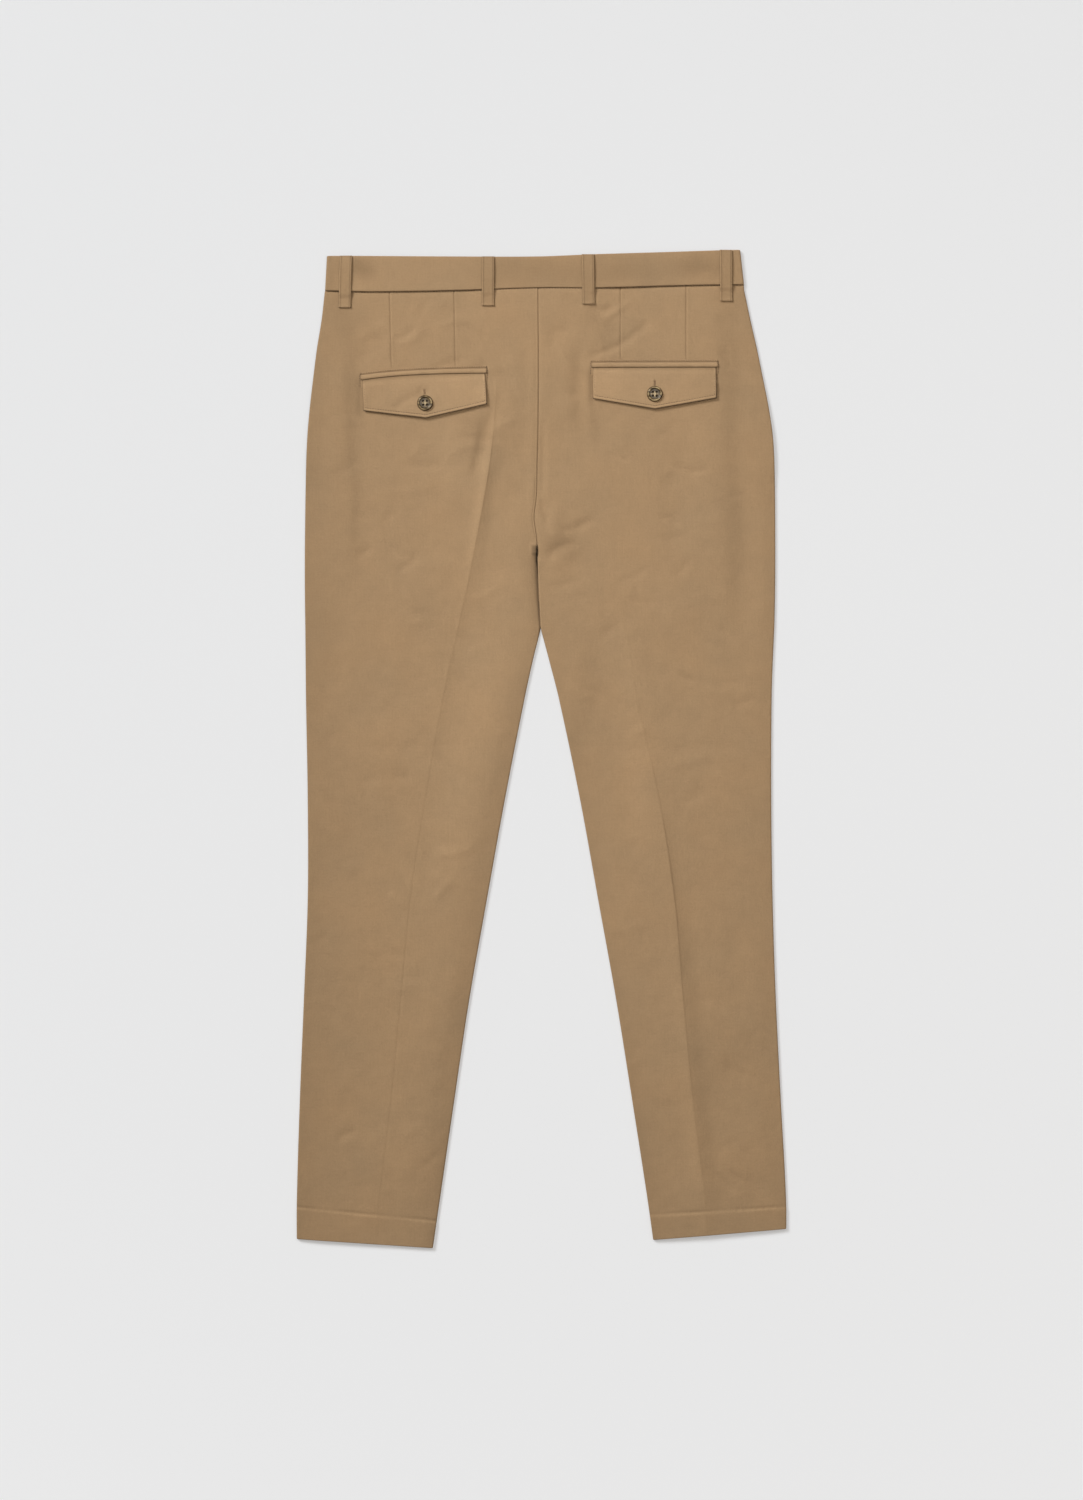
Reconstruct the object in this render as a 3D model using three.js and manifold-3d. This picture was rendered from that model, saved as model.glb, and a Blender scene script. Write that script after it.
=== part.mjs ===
// A pair of chino trousers laid flat on its front with the legs apart, so the back faces up.
// Two front panels lie on the surface and two back panels lie on them.
// The waistband is one strip folded at both sides.
// x runs to the wearer's right, y up the body to the waist, z up off the surface.
// The origin is on the surface, under the middle of the garment. All sizes are in millimetres.
// "drop" is a distance down the body from the waist seam.
import * as THREE from "three";
import { mergeVertices } from "three/addons/utils/BufferGeometryUtils.js";
import Module from "manifold-3d";

// Cloth
const CLOTH = 1.4; // wall of a leg panel
const BAND_CLOTH = 2.2; // folded and stiffened waistband
const GAP = 0.3; // between neighbouring pieces
const HEM_FOLD = 0.8; // what the turned-up hem adds inside the leg
const HEM_STEP = 2; // it steps up over this far each way from the hem's top

// Where the waist seam lies in the frame, so that the garment is centred on the origin
const SEAM_Y = 477.82;
const FORK_DROP = 272; // crotch, where the four leg seams meet
// The inner edges of the backs go from joined to free between these, above and below the fork
const FORK_BEFORE = 25;
const FORK_PAST = 35;
const LEGS_PART = 352; // the legs touch down to here
const FLY_LENGTH = 165;
const FLY_LAP = 5; // each front reaches this far past the centre line
// The right front is level over the left one up to the first, and down on the surface from the second
const FLY_CLEAR = 14;
const FLY_EASE = 34;
const SEAT_PLUMP = 2.8; // how far the back stands off the front at the seat
const LEG_PLUMP = 1.3;
const SEAT_TO = 180; // the seat's shape goes over into the leg's between these drops
const LEG_FROM = 420;
const SEAT_EDGE = 20; // how softly the cloth rises from the edge of the seat
const LEG_EDGE = 13;
// Below the fork the right leg's inner edge stands above the left one's until the legs part
const ROLL_RISE = 0.9;
const ROLL_WIDTH = 12;
const DART_DIP = 0.5;
const DART_HALF = 2.5; // half the width of a dart's groove
const DART_END = 8; // a groove fades out over this far before the dart's point
// Down the leg the darts' columns go over to these shares of its width
const DART_COLUMN_SHARES = [0.33, 0.44];
const SEAM_DIP = 0.6; // dip of the cloth into the centre back seam
const SEAM_DIP_WIDTH = 3;
const EDGE_ROUND = 0.5; // the rim of each panel turns in by this much
const EDGE_INSET = 3;
// Panel columns stand where a lift turns level or flat. The lift itself turns this far inside them.
const CLEAR_MARGIN = 0.2;

// The laid-out outline of each leg, with the line of its pressed crease. Each row is a section.
const LEFT_LEG = [
  { drop: 0, side: -225, crease: -42, inseam: -3.5 },
  { drop: 31, side: -228.5, crease: -43.5, inseam: -3.3 },
  { drop: 62, side: -233.5, crease: -45, inseam: -3 },
  { drop: 94, side: -237.5, crease: -46.5, inseam: -3 },
  { drop: 125, side: -241, crease: -48.5, inseam: -3.2 },
  { drop: 156, side: -243.5, crease: -51, inseam: -3.6 },
  { drop: 198, side: -245, crease: -56.5, inseam: -4.6 },
  { drop: 272, side: -246, crease: -70, inseam: -4.2 },
  { drop: 312, side: -246, crease: -78, inseam: -3 },
  { drop: 346, side: -245.6, crease: -85.7, inseam: -1.1 },
  { drop: 352, side: -245.5, crease: -87, inseam: -0.8 },
  { drop: 385, side: -245.2, crease: -94.5, inseam: -8.8 },
  { drop: 426, side: -244.8, crease: -103, inseam: -17.7 },
  { drop: 530, side: -243, crease: -121.5, inseam: -38 },
  { drop: 634, side: -243, crease: -137, inseam: -56.7 },
  { drop: 738, side: -247, crease: -147, inseam: -75 },
  { drop: 842, side: -251.2, crease: -157, inseam: -90.5 },
  { drop: 946, side: -254.3, crease: -169, inseam: -105.6 },
  { drop: 997, side: -254.3, crease: -172, inseam: -113 },
];
const RIGHT_LEG = [
  { drop: 0, side: 210.5, crease: 42, inseam: -3.5 },
  { drop: 31, side: 217, crease: 44, inseam: -3.3 },
  { drop: 62, side: 224, crease: 46, inseam: -3 },
  { drop: 94, side: 230.5, crease: 49, inseam: -3 },
  { drop: 125, side: 236.5, crease: 52, inseam: -3.2 },
  { drop: 156, side: 240.7, crease: 55.5, inseam: -3.6 },
  { drop: 198, side: 242.5, crease: 61, inseam: -4.6 },
  { drop: 272, side: 243, crease: 73, inseam: -4.2 },
  { drop: 312, side: 242.8, crease: 80, inseam: -3 },
  { drop: 346, side: 242.2, crease: 86, inseam: -1.1 },
  { drop: 352, side: 242, crease: 87, inseam: -0.8 },
  { drop: 385, side: 240.5, crease: 92.5, inseam: 7.8 },
  { drop: 426, side: 239.2, crease: 99, inseam: 18.2 },
  { drop: 530, side: 238.8, crease: 122, inseam: 40 },
  { drop: 634, side: 240.2, crease: 138, inseam: 58.8 },
  { drop: 738, side: 243.6, crease: 147, inseam: 77.5 },
  { drop: 842, side: 248.7, crease: 157, inseam: 94.1 },
  { drop: 946, side: 254.2, crease: 169.5, inseam: 110.2 },
  { drop: 997, side: 254.2, crease: 172.5, inseam: 117.3 },
];
// The hems slant, so each leg is a little longer at one seam, and the hem is a little deeper at one seam.
const LEFT_LENGTHS = { side: 987, inseam: 996.5 };
const RIGHT_LENGTHS = { side: 976.5, inseam: 988 };
const LEFT_HEM = { side: 33, inseam: 28 };
const RIGHT_HEM = { side: 23, inseam: 26 };

// The ridge pressed down each back leg: its height, and how far it takes to fall away each way
const LEFT_CREASE = [
  { drop: 80, rise: 0, west: 14, east: 5 },
  { drop: 110, rise: 0.4, west: 14, east: 5 },
  { drop: 165, rise: 1.3, west: 14, east: 5 },
  { drop: 300, rise: 1, west: 12, east: 5 },
  { drop: 420, rise: 0.5, west: 10, east: 6 },
  { drop: 560, rise: 0.25, west: 8, east: 8 },
  { drop: 997, rise: 0.1, west: 8, east: 8 },
];
const RIGHT_CREASE = [
  { drop: 300, rise: 0, west: 40, east: 8 },
  { drop: 420, rise: 0.4, west: 45, east: 8 },
  { drop: 520, rise: 0.9, west: 45, east: 6 },
  { drop: 600, rise: 1.5, west: 45, east: 4.5 },
  { drop: 680, rise: 1.2, west: 45, east: 5 },
  { drop: 760, rise: 0.9, west: 40, east: 6 },
  { drop: 900, rise: 0.8, west: 35, east: 7 },
  { drop: 997, rise: 0.4, west: 30, east: 8 },
];
// Darts of each back panel from the side inward: x at the waist and at the point
const LEFT_DARTS = { length: 81.6, lines: [{ waist: -158, point: -156 }, { waist: -91, point: -89.6 }] };
const RIGHT_DARTS = { length: 74.5, lines: [{ waist: 150, point: 150 }, { waist: 82, point: 82 }] };
// Large soft folds of each back panel: height, width each way, and the line it follows down.
// A trough's height is negative.
const LEFT_FOLDS = [
  {
    rise: 1.1,
    width: 24,
    line: [
      { drop: 330, x: -34 },
      { drop: 410, x: -46 },
      { drop: 500, x: -62 },
      { drop: 590, x: -78 },
      { drop: 700, x: -92 },
      { drop: 800, x: -112 },
      { drop: 990, x: -137 },
    ],
  },
  {
    rise: -1,
    width: 9,
    line: [
      { drop: 108, x: -50 },
      { drop: 150, x: -60 },
      { drop: 208, x: -72 },
    ],
  },
];
const RIGHT_FOLDS = [
  {
    rise: 0.9,
    width: 20,
    line: [
      { drop: 15, x: 176 },
      { drop: 90, x: 181 },
      { drop: 200, x: 186 },
      { drop: 360, x: 190 },
    ],
  },
  {
    rise: -1,
    width: 13,
    line: [
      { drop: 172, x: 211 },
      { drop: 280, x: 213 },
      { drop: 400, x: 211 },
    ],
  },
];

// The waist seam and the top edge of the waistband across the back, as drop and rise from the seam's level
const WAIST = [
  { x: -225, seam: 2, top: 34.5 },
  { x: -175, seam: 3.3, top: 34 },
  { x: -90, seam: 2, top: 33.5 },
  { x: -5, seam: -0.8, top: 33.5 },
  { x: 60, seam: -0.8, top: 36 },
  { x: 140, seam: -3, top: 38.5 },
  { x: 210.5, seam: -4.4, top: 41 },
];
// Stations of the waistband's front halves: the left one from the tab out, the right one from the side in
const BAND_LEFT_XS = [
  30, 12, -6, -24, -42, -64, -86, -94, -101, -106, -112, -118, -123, -130, -138, -160, -185, -205,
];
const BAND_RIGHT_XS = [
  196, 176, 152, 130, 122, 115, 110, 104, 98, 93, 86, 78, 62, 46, 34, 22, 6, -12, -30,
];
const BAND_ENDS = { leftSeam: -225, leftTop: -223, rightSeam: 210.5, rightTop: 206.5 };
const WAIST_CENTRE = -4;
const FRONT_DIP = 10; // the front waist sits lower than the back
const BAND_RISE = 3; // the back of the band stands off the front of it
const TAB = 30; // overlap of the band at the front, each way from the centre
const TAB_RISE = 1.5; // how far that overlap lifts the back
const TAB_SLOPE_FROM = 6; // the lift slopes away past the overlap's end between these
const TAB_SLOPE_TO = 50;
const TAB_FADE_FROM = 14; // and down the panel between these
const TAB_FADE_TO = 75;
const WAIST_FADE = 110; // down to here the panels' rows follow the waist seam

// Slanted front pockets: the mouth runs from the waist to the side seam over a facing
const MOUTH_INSET = 42;
const MOUTH_REACH = 172;
// How far the end of the mouth lifts the side seam, from where it has closed to an inset
const MOUTH_LIFT = 1.9;
const MOUTH_CLOSED = 26;
const MOUTH_FADE = 40; // and the lift is gone this far below it
const MOUTH_LIFT_WIDTH = 25;
const FACING_LAP = 12;
const FACING_STEP = CLOTH + GAP;
// Outside the mouth the facing is level up to the first, and down on the surface from the second
const FACING_CLEAR = 4;
const FACING_EASE = 16;

// Belt loops: where each crosses the waist seam, and how far its top leans from there
const LOOP_WIDTH = 12.8;
const LOOP_CLOTH = 1.3;
const LOOP_FOOT = 17; // below the waist seam
const LOOP_ARCH = 0.8;
// What lies over a front loop is level up to the first from its middle, and down again at the second
const LOOP_CLEAR = 7.8;
const LOOP_EASE = 20;
const LOOP_FADE_FROM = 35; // and below its foot from here to here
const LOOP_FADE_TO = 75;
const BACK_LOOPS = [
  { name: "belt_loop_side_left", x: -204.5, lean: 1.5 },
  { name: "belt_loop_back_left", x: -55.6, lean: 0.2 },
  { name: "belt_loop_back_right", x: 49, lean: -0.8 },
  { name: "belt_loop_side_right", x: 191.8, lean: -0.5 },
];
const FRONT_LOOPS = [
  { name: "belt_loop_front_left", x: -112 },
  { name: "belt_loop_front_right", x: 104 },
];

// Back pockets: two jets with a buttoned flap between them.
// The drop is that of the flap's top edge at its middle.
const POCKETS = [
  { side: "left", x: -122.3, drop: 91.5, turn: 3.2 },
  { side: "right", x: 117.4, drop: 82, turn: 0.2 },
];
const FLAP_WIDTH = 128;
const FLAP_SIDE = 32;
const FLAP_POINT = 43;
const FLAP_CLOTH = 1.5;
const FLAP_PUFF = 0.5;
const JET_WIDTH = 131;
const JET_HEIGHT = 8;
const JET_CLOTH = 0.9;
const JET_ROLL = 1.8;
const BUTTON_RADIUS = 8.2;
const BUTTON_DROP = 27.5; // below the flap's top edge
const BUTTON_HOLE_RADIUS = 0.95;
const BUTTON_HOLE_OFFSET = 1.7;

const mix = (a, b, share) => a + (b - a) * share;
const smooth = (from, to, value) => THREE.MathUtils.smoothstep(value, from, to);

// A smooth curve through one column of a table.
// It is a cubic between rows, its slopes taken from the neighbouring rows.
function curve(table, along, column) {
  const at = table.map((row) => row[along]);
  const values = table.map((row) => row[column]);
  const last = at.length - 1;
  const slopes = at.map((_, i) => {
    const before = Math.max(i - 1, 0);
    const after = Math.min(i + 1, last);
    return (values[after] - values[before]) / (at[after] - at[before]);
  });
  return (position) => {
    const t = THREE.MathUtils.clamp(position, at[0], at[last]);
    const found = at.findIndex((end, i) => i > 0 && t <= end);
    const i = Math.max(found, 1) - 1;
    const span = at[i + 1] - at[i];
    const s = (t - at[i]) / span;
    return (
      values[i] * (1 + 2 * s) * (1 - s) ** 2 +
      slopes[i] * span * s * (1 - s) ** 2 +
      values[i + 1] * s * s * (3 - 2 * s) +
      slopes[i + 1] * span * s * s * (s - 1)
    );
  };
}

const waistSeam = curve(WAIST, "x", "seam");
const waistTop = curve(WAIST, "x", "top");
const waistMiddle = (BAND_ENDS.leftSeam + BAND_ENDS.rightSeam) / 2;
const waistWidth = BAND_ENDS.rightSeam - BAND_ENDS.leftSeam;
const frontDip = (x) => FRONT_DIP * Math.cos((Math.PI * (x - waistMiddle)) / waistWidth) ** 2;

function legOf(sign, table, lengths, hem, crease, darts, folds) {
  return {
    sign,
    lengths,
    hem,
    side: curve(table, "drop", "side"),
    crease: curve(table, "drop", "crease"),
    inseam: curve(table, "drop", "inseam"),
    creaseRise: curve(crease, "drop", "rise"),
    creaseWest: curve(crease, "drop", "west"),
    creaseEast: curve(crease, "drop", "east"),
    darts,
    folds: folds.map(({ rise, width, line }) => {
      const start = line[0].drop;
      const end = line.at(-1).drop;
      return { rise, width, start, end, fade: (end - start) / 3, at: curve(line, "drop", "x") };
    }),
  };
}
const LEGS = {
  left: legOf(-1, LEFT_LEG, LEFT_LENGTHS, LEFT_HEM, LEFT_CREASE, LEFT_DARTS, LEFT_FOLDS),
  right: legOf(1, RIGHT_LEG, RIGHT_LENGTHS, RIGHT_HEM, RIGHT_CREASE, RIGHT_DARTS, RIGHT_FOLDS),
};

// Inward distance from the side seam to the slanted pocket mouth
const mouthInset = (drop) => MOUTH_INSET * Math.max(1 - drop / MOUTH_REACH, 0);

// How far the pocket facing is lifted by the front panel that overlaps it
const facingLift = (fromMouth) => FACING_STEP * (1 - smooth(FACING_CLEAR, FACING_EASE, fromMouth));

// How far the end of the pocket mouth lifts the side seam
function sideLift(drop) {
  const mouthClosed = 1 - smooth(1, MOUTH_CLOSED, mouthInset(drop));
  const pastMouth = smooth(MOUTH_REACH, MOUTH_REACH + MOUTH_FADE, drop);
  return MOUTH_LIFT * mouthClosed * (1 - pastMouth);
}

// How far a front belt loop, which lies on the surface, lifts what is over it
function loopLift(x, drop) {
  const lifts = FRONT_LOOPS.map((loop) => {
    const fromMiddle = Math.abs(x - loop.x);
    return 1 - smooth(LOOP_CLEAR + CLEAR_MARGIN, LOOP_EASE - CLEAR_MARGIN, fromMiddle);
  });
  const pastFoot = smooth(LOOP_FOOT + LOOP_FADE_FROM, LOOP_FOOT + LOOP_FADE_TO, drop - frontDip(x));
  return (LOOP_CLOTH + GAP) * Math.max(...lifts) * (1 - pastFoot);
}

// The ridge of the pressed crease: an exponential on each side, of its own width
function creaseRidge(leg, x, drop) {
  const off = x - leg.crease(drop);
  const width = off < 0 ? leg.creaseWest(drop) : leg.creaseEast(drop);
  return leg.creaseRise(drop) * Math.exp(-Math.abs(off) / width);
}

// A large soft fold: a bell across its line, fading in and out along it
function foldRise({ rise, width, start, end, fade, at }, x, drop) {
  const along = smooth(start, start + fade, drop) * (1 - smooth(end - fade, end, drop));
  return rise * along * Math.exp(-(((x - at(drop)) / width) ** 2));
}

// Line of a dart, which goes on down past its point as one of the panel's columns
const dartLine = (leg, dart, drop) => mix(dart.waist, dart.point, Math.min(drop / leg.darts.length, 1));

function dartDip(leg, x, drop) {
  const stitched = 1 - smooth(leg.darts.length - DART_END, leg.darts.length, drop);
  const dips = leg.darts.lines.map((dart) => {
    const off = Math.abs(x - dartLine(leg, dart, drop));
    return Math.max(1 - off / DART_HALF, 0);
  });
  return DART_DIP * stitched * Math.max(...dips);
}

// Height of the back panels' upper face.
// It rises softly from each edge to a plateau, which carries the creases.
function backTop(leg, x, drop) {
  const fromSide = Math.abs(x - leg.side(drop));
  const fromInseam = Math.abs(x - leg.inseam(drop));
  const legShare = smooth(SEAT_TO, LEG_FROM, drop);
  const belowFork = smooth(FORK_DROP - FORK_BEFORE, FORK_DROP + FORK_PAST, drop);
  const edge = mix(SEAT_EDGE, LEG_EDGE, legShare);
  const sideRise = 1 - Math.exp(-fromSide / edge);
  const inseamRise = 1 - belowFork * Math.exp(-fromInseam / edge);
  const folds = leg.folds.reduce((sum, fold) => sum + foldRise(fold, x, drop), 0);
  const level = mix(SEAT_PLUMP, LEG_PLUMP, legShare) + creaseRidge(leg, x, drop) + folds;
  const seamDip = SEAM_DIP * (1 - belowFork) * Math.exp(-fromInseam / SEAM_DIP_WIDTH);
  const besideTab = smooth(TAB + TAB_SLOPE_FROM, TAB + TAB_SLOPE_TO, Math.abs(x));
  const overTab = TAB_RISE * (1 - besideTab) * (1 - smooth(TAB_FADE_FROM, TAB_FADE_TO, drop));
  const pastPart = smooth(LEGS_PART, LEGS_PART + FORK_PAST, drop);
  const touching = smooth(FORK_DROP, FORK_DROP + FORK_PAST, drop) * (1 - pastPart);
  const roll = leg.sign > 0 ? ROLL_RISE * touching * Math.exp(-fromInseam / ROLL_WIDTH) : 0;
  const atEdge = 2 * CLOTH + GAP + 2 * hemFold(leg, x, drop);
  const overMouth = sideLift(drop) * Math.exp(-fromSide / MOUTH_LIFT_WIDTH);
  const plateau = level * sideRise * inseamRise;
  return atEdge + overMouth + plateau + overTab + roll - seamDip - dartDip(leg, x, drop);
}

// Share of the way across a leg from its side seam to its inseam
const acrossShare = (leg, x, drop) => (x - leg.side(drop)) / (leg.inseam(drop) - leg.side(drop));

// Extra cloth inside the turned-up hem
function hemFold(leg, x, drop) {
  const share = acrossShare(leg, x, drop);
  const length = mix(leg.lengths.side, leg.lengths.inseam, share);
  const hemTop = length - mix(leg.hem.side, leg.hem.inseam, share);
  return HEM_FOLD * smooth(hemTop - HEM_STEP, hemTop + HEM_STEP, drop);
}

// Closes the space between two point grids of the same size into one solid wall.
// Columns run to +x and rows to -y.
function wallGeometry(lower, upper) {
  const rows = lower.length - 1;
  const columns = lower[0].length - 1;
  const at = (layer, r, c) => (layer * (rows + 1) + r) * (columns + 1) + c;
  const index = [];
  const quad = (a, b, c, d) => index.push(a, b, c, a, c, d);
  for (let r = 0; r < rows; r++) {
    for (let c = 0; c < columns; c++) {
      quad(at(1, r, c), at(1, r + 1, c), at(1, r + 1, c + 1), at(1, r, c + 1));
      quad(at(0, r, c), at(0, r, c + 1), at(0, r + 1, c + 1), at(0, r + 1, c));
    }
    quad(at(1, r + 1, 0), at(1, r, 0), at(0, r, 0), at(0, r + 1, 0));
    quad(at(1, r, columns), at(1, r + 1, columns), at(0, r + 1, columns), at(0, r, columns));
  }
  for (let c = 0; c < columns; c++) {
    quad(at(1, 0, c), at(1, 0, c + 1), at(0, 0, c + 1), at(0, 0, c));
    quad(at(1, rows, c + 1), at(1, rows, c), at(0, rows, c), at(0, rows, c + 1));
  }
  const positions = [lower, upper].flat(3);
  const geometry = new THREE.BufferGeometry();
  geometry.setAttribute("position", new THREE.Float32BufferAttribute(positions, 3));
  geometry.setIndex(index);
  return geometry;
}

// A wall given by its plan, a grid of [x, drop], and by the height of its two faces over that plan
function panelGeometry(plan, lowerHeight, upperHeight) {
  const lastRow = plan.length - 1;
  const face = (height) =>
    plan.map((row, r) =>
      row.map(([x, drop], c) => {
        const onRim = r === 0 || r === lastRow || c === 0 || c === row.length - 1;
        return [x, SEAM_Y - drop, height(x, drop, onRim)];
      }),
    );
  return wallGeometry(face(lowerHeight), face(upperHeight));
}

// Columns across a panel, west to east. Anchors are given from the side seam inward,
// each with set offsets inward from its line. Between two anchors so many columns are shared out evenly.
function columnsAcross(leg, anchors, counts) {
  const inward = anchors.flatMap(({ at, offsets }, i) => {
    const own = offsets.map((offset) => at - leg.sign * offset);
    if (i === anchors.length - 1) return own;
    const next = anchors[i + 1].at - leg.sign * anchors[i + 1].offsets[0];
    const shareOf = (k) => (k + 1) / (counts[i] + 1);
    const shared = Array.from({ length: counts[i] }, (_, k) => mix(own.at(-1), next, shareOf(k)));
    return [...own, ...shared];
  });
  return leg.sign > 0 ? inward.reverse() : inward;
}

// Rows down a seam: even ones to where the legs part and on to the hem, then close ones at the hem
function rowsDown(length, hemDepth, part, toPart, toHem) {
  const hemTop = length - hemDepth;
  const even = (from, to, count) => Array.from({ length: count }, (_, i) => mix(from, to, i / count));
  const hem = [hemTop - HEM_STEP, hemTop + HEM_STEP, mix(hemTop, length, 0.6), length];
  return [...even(0, part, toPart), ...even(part, hemTop - HEM_STEP, toHem), ...hem];
}

// Moves a place near the waist down to the waist seam, less and less further down
function belowWaist(x, drop, dip) {
  const waistShare = Math.max(1 - drop / WAIST_FADE, 0) ** 2;
  return [x, drop + (waistSeam(x) + GAP / 2 + dip) * waistShare];
}

// Plan of a leg panel. inset moves its side edge in, lap moves its inner edge past the seam.
function legPlan(leg, rowCounts, anchorsAt, counts, inset, lap, waistDip) {
  const { side: sideLength, inseam: inseamLength } = leg.lengths;
  const sidePart = (LEGS_PART * sideLength) / inseamLength;
  const inseamRows = rowsDown(inseamLength, leg.hem.inseam, LEGS_PART, ...rowCounts);
  const sideRows = rowsDown(sideLength, leg.hem.side, sidePart, ...rowCounts);
  return inseamRows.map((inseamDrop, r) => {
    const sideDrop = sideRows[r];
    const sideX = leg.side(sideDrop) - leg.sign * inset(sideDrop);
    const innerX = leg.inseam(inseamDrop) - leg.sign * lap(inseamDrop);
    const anchors = anchorsAt(sideX, innerX, (sideDrop + inseamDrop) / 2);
    return columnsAcross(leg, anchors, counts).map((x) => {
      const drop = mix(sideDrop, inseamDrop, (x - sideX) / (innerX - sideX));
      return belowWaist(x, drop, waistDip(x));
    });
  });
}

// Back leg panel, the upper layer
function backPanelGeometry(leg) {
  const seamGap = (drop) => (-GAP / 2) * (1 - smooth(LEGS_PART + 3, LEGS_PART + 18, drop));
  const anchorsAt = (side, inner, drop) => {
    const letGo = smooth(90, 420, drop);
    const darts = leg.darts.lines.map((dart, i) => ({
      at: mix(dartLine(leg, dart, drop), mix(side, inner, DART_COLUMN_SHARES[i]), letGo),
      offsets: [-DART_HALF, 0, DART_HALF],
    }));
    return [
      { at: side, offsets: [0, EDGE_INSET, 9, 18, 30] },
      ...darts,
      { at: leg.crease(drop), offsets: [-14, -5, 0, 5, 14] },
      { at: inner, offsets: [-12, -EDGE_INSET, 0] },
    ];
  };
  const plan = legPlan(leg, [15, 20], anchorsAt, [1, 2, 1, 2], () => 0, seamGap, () => 0);
  return panelGeometry(
    plan,
    (x, drop) => backTop(leg, x, drop) - CLOTH - hemFold(leg, x, drop),
    (x, drop, onRim) => backTop(leg, x, drop) - (onRim ? EDGE_ROUND : 0),
  );
}

// How far a front panel's inner edge passes the centre line: the left laps over the right along the fly
function flyLap(leg, drop) {
  const alongFly = 1 - smooth(FLY_LENGTH - 12, FLY_LENGTH, drop);
  const apart = (-GAP / 2) * (1 - smooth(LEGS_PART + 3, LEGS_PART + 18, drop));
  return mix(apart, FLY_LAP, alongFly);
}

// The right front is lifted over the left front along the fly
function flyLift(leg, x, drop) {
  if (leg.sign < 0) return 0;
  const fromEdge = x - leg.inseam(drop) + FLY_LAP;
  const alongFly = 1 - smooth(FLY_LENGTH + 36, FLY_LENGTH + 90, drop);
  const eased = smooth(FLY_CLEAR + CLEAR_MARGIN, FLY_EASE - CLEAR_MARGIN, fromEdge);
  return (CLOTH + GAP) * alongFly * (1 - eased);
}

// Front leg panel, the lower layer. Its lower face is flat on the surface, and its rim turns up.
function frontPanelGeometry(leg) {
  const loop = FRONT_LOOPS[leg.sign < 0 ? 0 : 1];
  const anchorsAt = (side, inner, drop) => [
    { at: side, offsets: [0, EDGE_INSET] },
    {
      at: mix(loop.x, leg.crease(drop), smooth(0, 450, drop)),
      offsets: [-LOOP_EASE, -LOOP_CLEAR, LOOP_CLEAR, LOOP_EASE],
    },
    { at: inner, offsets: [-FLY_EASE, -FLY_CLEAR, -EDGE_INSET, 0] },
  ];
  const lap = (drop) => flyLap(leg, drop);
  const plan = legPlan(leg, [12, 15], anchorsAt, [2, 2], mouthInset, lap, frontDip);
  const lift = (x, drop) => loopLift(x, drop) + flyLift(leg, x, drop);
  return panelGeometry(
    plan,
    (x, drop, onRim) => lift(x, drop) + (onRim ? EDGE_ROUND : 0),
    (x, drop) => lift(x, drop) + CLOTH + hemFold(leg, x, drop),
  );
}

// Facing seen in the mouth of a slanted front pocket, from the side seam to just inside the mouth
function pocketFacingGeometry(leg) {
  const rowCount = 12;
  const columnCount = 4;
  const foot = MOUTH_REACH - 6;
  const plan = [];
  for (let r = 0; r <= rowCount; r++) {
    const drop = (foot * r) / rowCount;
    const side = leg.side(drop);
    const inner = side - leg.sign * (mouthInset(drop) + FACING_LAP);
    const [west, east] = leg.sign < 0 ? [side, inner] : [inner, side];
    const row = [];
    for (let c = 0; c <= columnCount; c++) {
      const x = mix(west, east, c / columnCount);
      row.push(belowWaist(x, drop, frontDip(x)));
    }
    plan.push(row);
  }
  const lift = (x, drop) => {
    const fromSide = Math.abs(x - leg.side(drop));
    return facingLift(mouthInset(drop) - fromSide);
  };
  return panelGeometry(
    plan,
    (x, drop, onRim) => lift(x, drop) + (onRim ? EDGE_ROUND / 2 : 0),
    (x, drop) => lift(x, drop) + CLOTH,
  );
}

// Underside of the waistband's back layer. It rises from the side folds to a plateau.
function bandUnder(x, share) {
  const left = mix(BAND_ENDS.leftSeam, BAND_ENDS.leftTop, share);
  const right = mix(BAND_ENDS.rightSeam, BAND_ENDS.rightTop, share);
  const fromEnd = Math.max(Math.min(x - left, right - x) - BAND_CLOTH, 0);
  return BAND_CLOTH + GAP + BAND_RISE * (1 - Math.exp(-fromEnd / SEAT_EDGE));
}

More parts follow.
